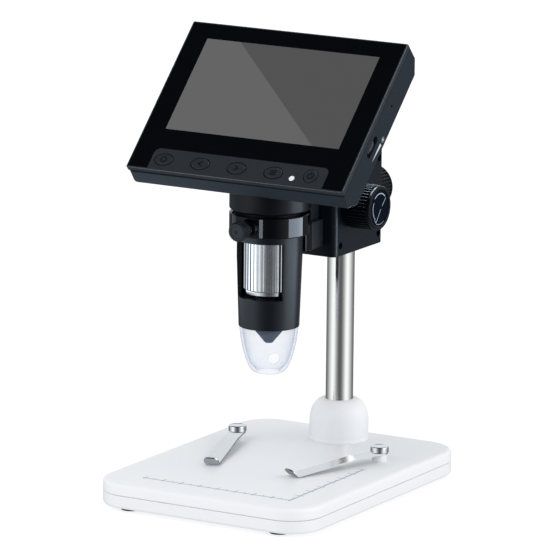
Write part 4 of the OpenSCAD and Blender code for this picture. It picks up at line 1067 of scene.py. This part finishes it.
# brightness wheel in its slot, and the wedge and the sun beside it
dimmer = {
    "x": 51.95, "ribs": 40, "depth": 0.4, "wedge": [(-5.8, -12.5), (-5.8, -14.1), (-16.6, -12.6)],
    "sun": (-3, -13.3), "sunRadius": 0.55, "rays": (0.95, 1.3), "rayWide": 0.22, "sink": -0.02,
    "profile": [(0, -1.3), (6.6, -1.3, 0.2), (7.2, -0.9, 0.2, 1), (7.2, 0.9, 0.2, 1), (6.6, 1.3, 0.2),
                (0, 1.3)],
}


def makeSideDetails(h, d):
    wheel = knurled(d, d["profile"], screen @ moved(d["x"], *h["wheel"]), 8)
    piece("brightnessWheel", [wheel], "dimmer", "dimmer_wheel_body", ["dimmer_wheel"],
          smooth=42)
    side = screen @ moved(h["wide"] / 2 - h["markDepth"], 0, 0) @ alongX
    low, high = d["sink"], h["markDepth"]
    (x, y), (near, far) = d["sun"], d["rays"]
    marks = [prism(d["wedge"], low, high, side, 0),
             prism(circleOutline(d["sunRadius"], x, y, 20), low, high, side, 0)]
    for i in range(8):
        a = 2 * math.pi * i / 8
        ray = [(x + r * math.cos(a), y + r * math.sin(a)) for r in (near, far)]
        marks += stroke(ray, d["rayWide"], side, low, high)
    piece("sideMarks", marks, "paleInk", "head")


makeHousing(housing)
makeBezel(housing)
makeButtons(housing, signs)
makeSideDetails(housing, dimmer)
print("housing made")

# the modelled nodes that stay, with their finishes

keptNodes = {
    "steel": ["base_screws", "post_washer", "clamp_nut", "clamp_stud", "focus_shaft", "slide_screws",
              "thumb_screw_shank", "usb_socket", "card_socket"],
    "blackSteel": ["post_bolt", "carriage_screws", "housing_screws"],
    "brass": ["post_insert", "focus_rack"],
    "sleeve": ["clamp_sleeve"],
    "panel": ["display_panel"],
    "board": ["main_board", "key_board", "sensor_board"],
    "wrap": ["battery"],
    "ribbon": ["sensor_cable"],
    "dimmer": ["dimmer_pot"],
    "barrel": ["barrel_plug"],
    "ledBoard": ["led_board"],
    "ledDome": ["leds"],
    "clear": ["lens"],
}
for finish, names in keptNodes.items():
    for name in names:
        node = cadNodes[name]
        node.data.materials.clear()
        node.data.materials.append(finishes[finish])
print("kept nodes finished")

# floor

floor = {"half": 6.0, "near": 0.16, "far": 0.34, "lift": 0.68, "colour": (0.93, 0.93, 0.935), "glow": 0.07}


def makeFloor(f):
    # a matt floor under the object that goes over to plain white further out
    made, root = material("floor")
    x, y, z = root.node("TexCoord", out="Object").parts()
    away = root.maths("SQRT", x * x + y * y)
    fade = ((away - f["near"]) / (f["far"] - f["near"])).clamped() * (1 - f["lift"]) + f["lift"]
    paint = root.node("BsdfPrincipled", None, {"Base Color": (*f["colour"], 1), "Roughness": 0.9,
                                               "Specular IOR Level": 0.0})
    seen = root.node("LightPath", out="Is Camera Ray")
    bright = root.node("Emission", None, {"Color": (1, 1, 1, 1), "Strength": seen * f["glow"] + 1.0})
    root.node("MixShader", None, {0: fade, 1: paint, 2: bright}).output("Material")
    h = f["half"] / mm
    points = [Vector(p) for p in ((-h, -h, 0), (h, -h, 0), (h, h, 0), (-h, h, 0))]
    obj = objectFrom("floor", [(points, [(0, 1, 2, 3)])])
    obj.data.materials.append(made)
    obj.visible_glossy = False


makeFloor(floor)
addStrips(studio)
print("floor made")
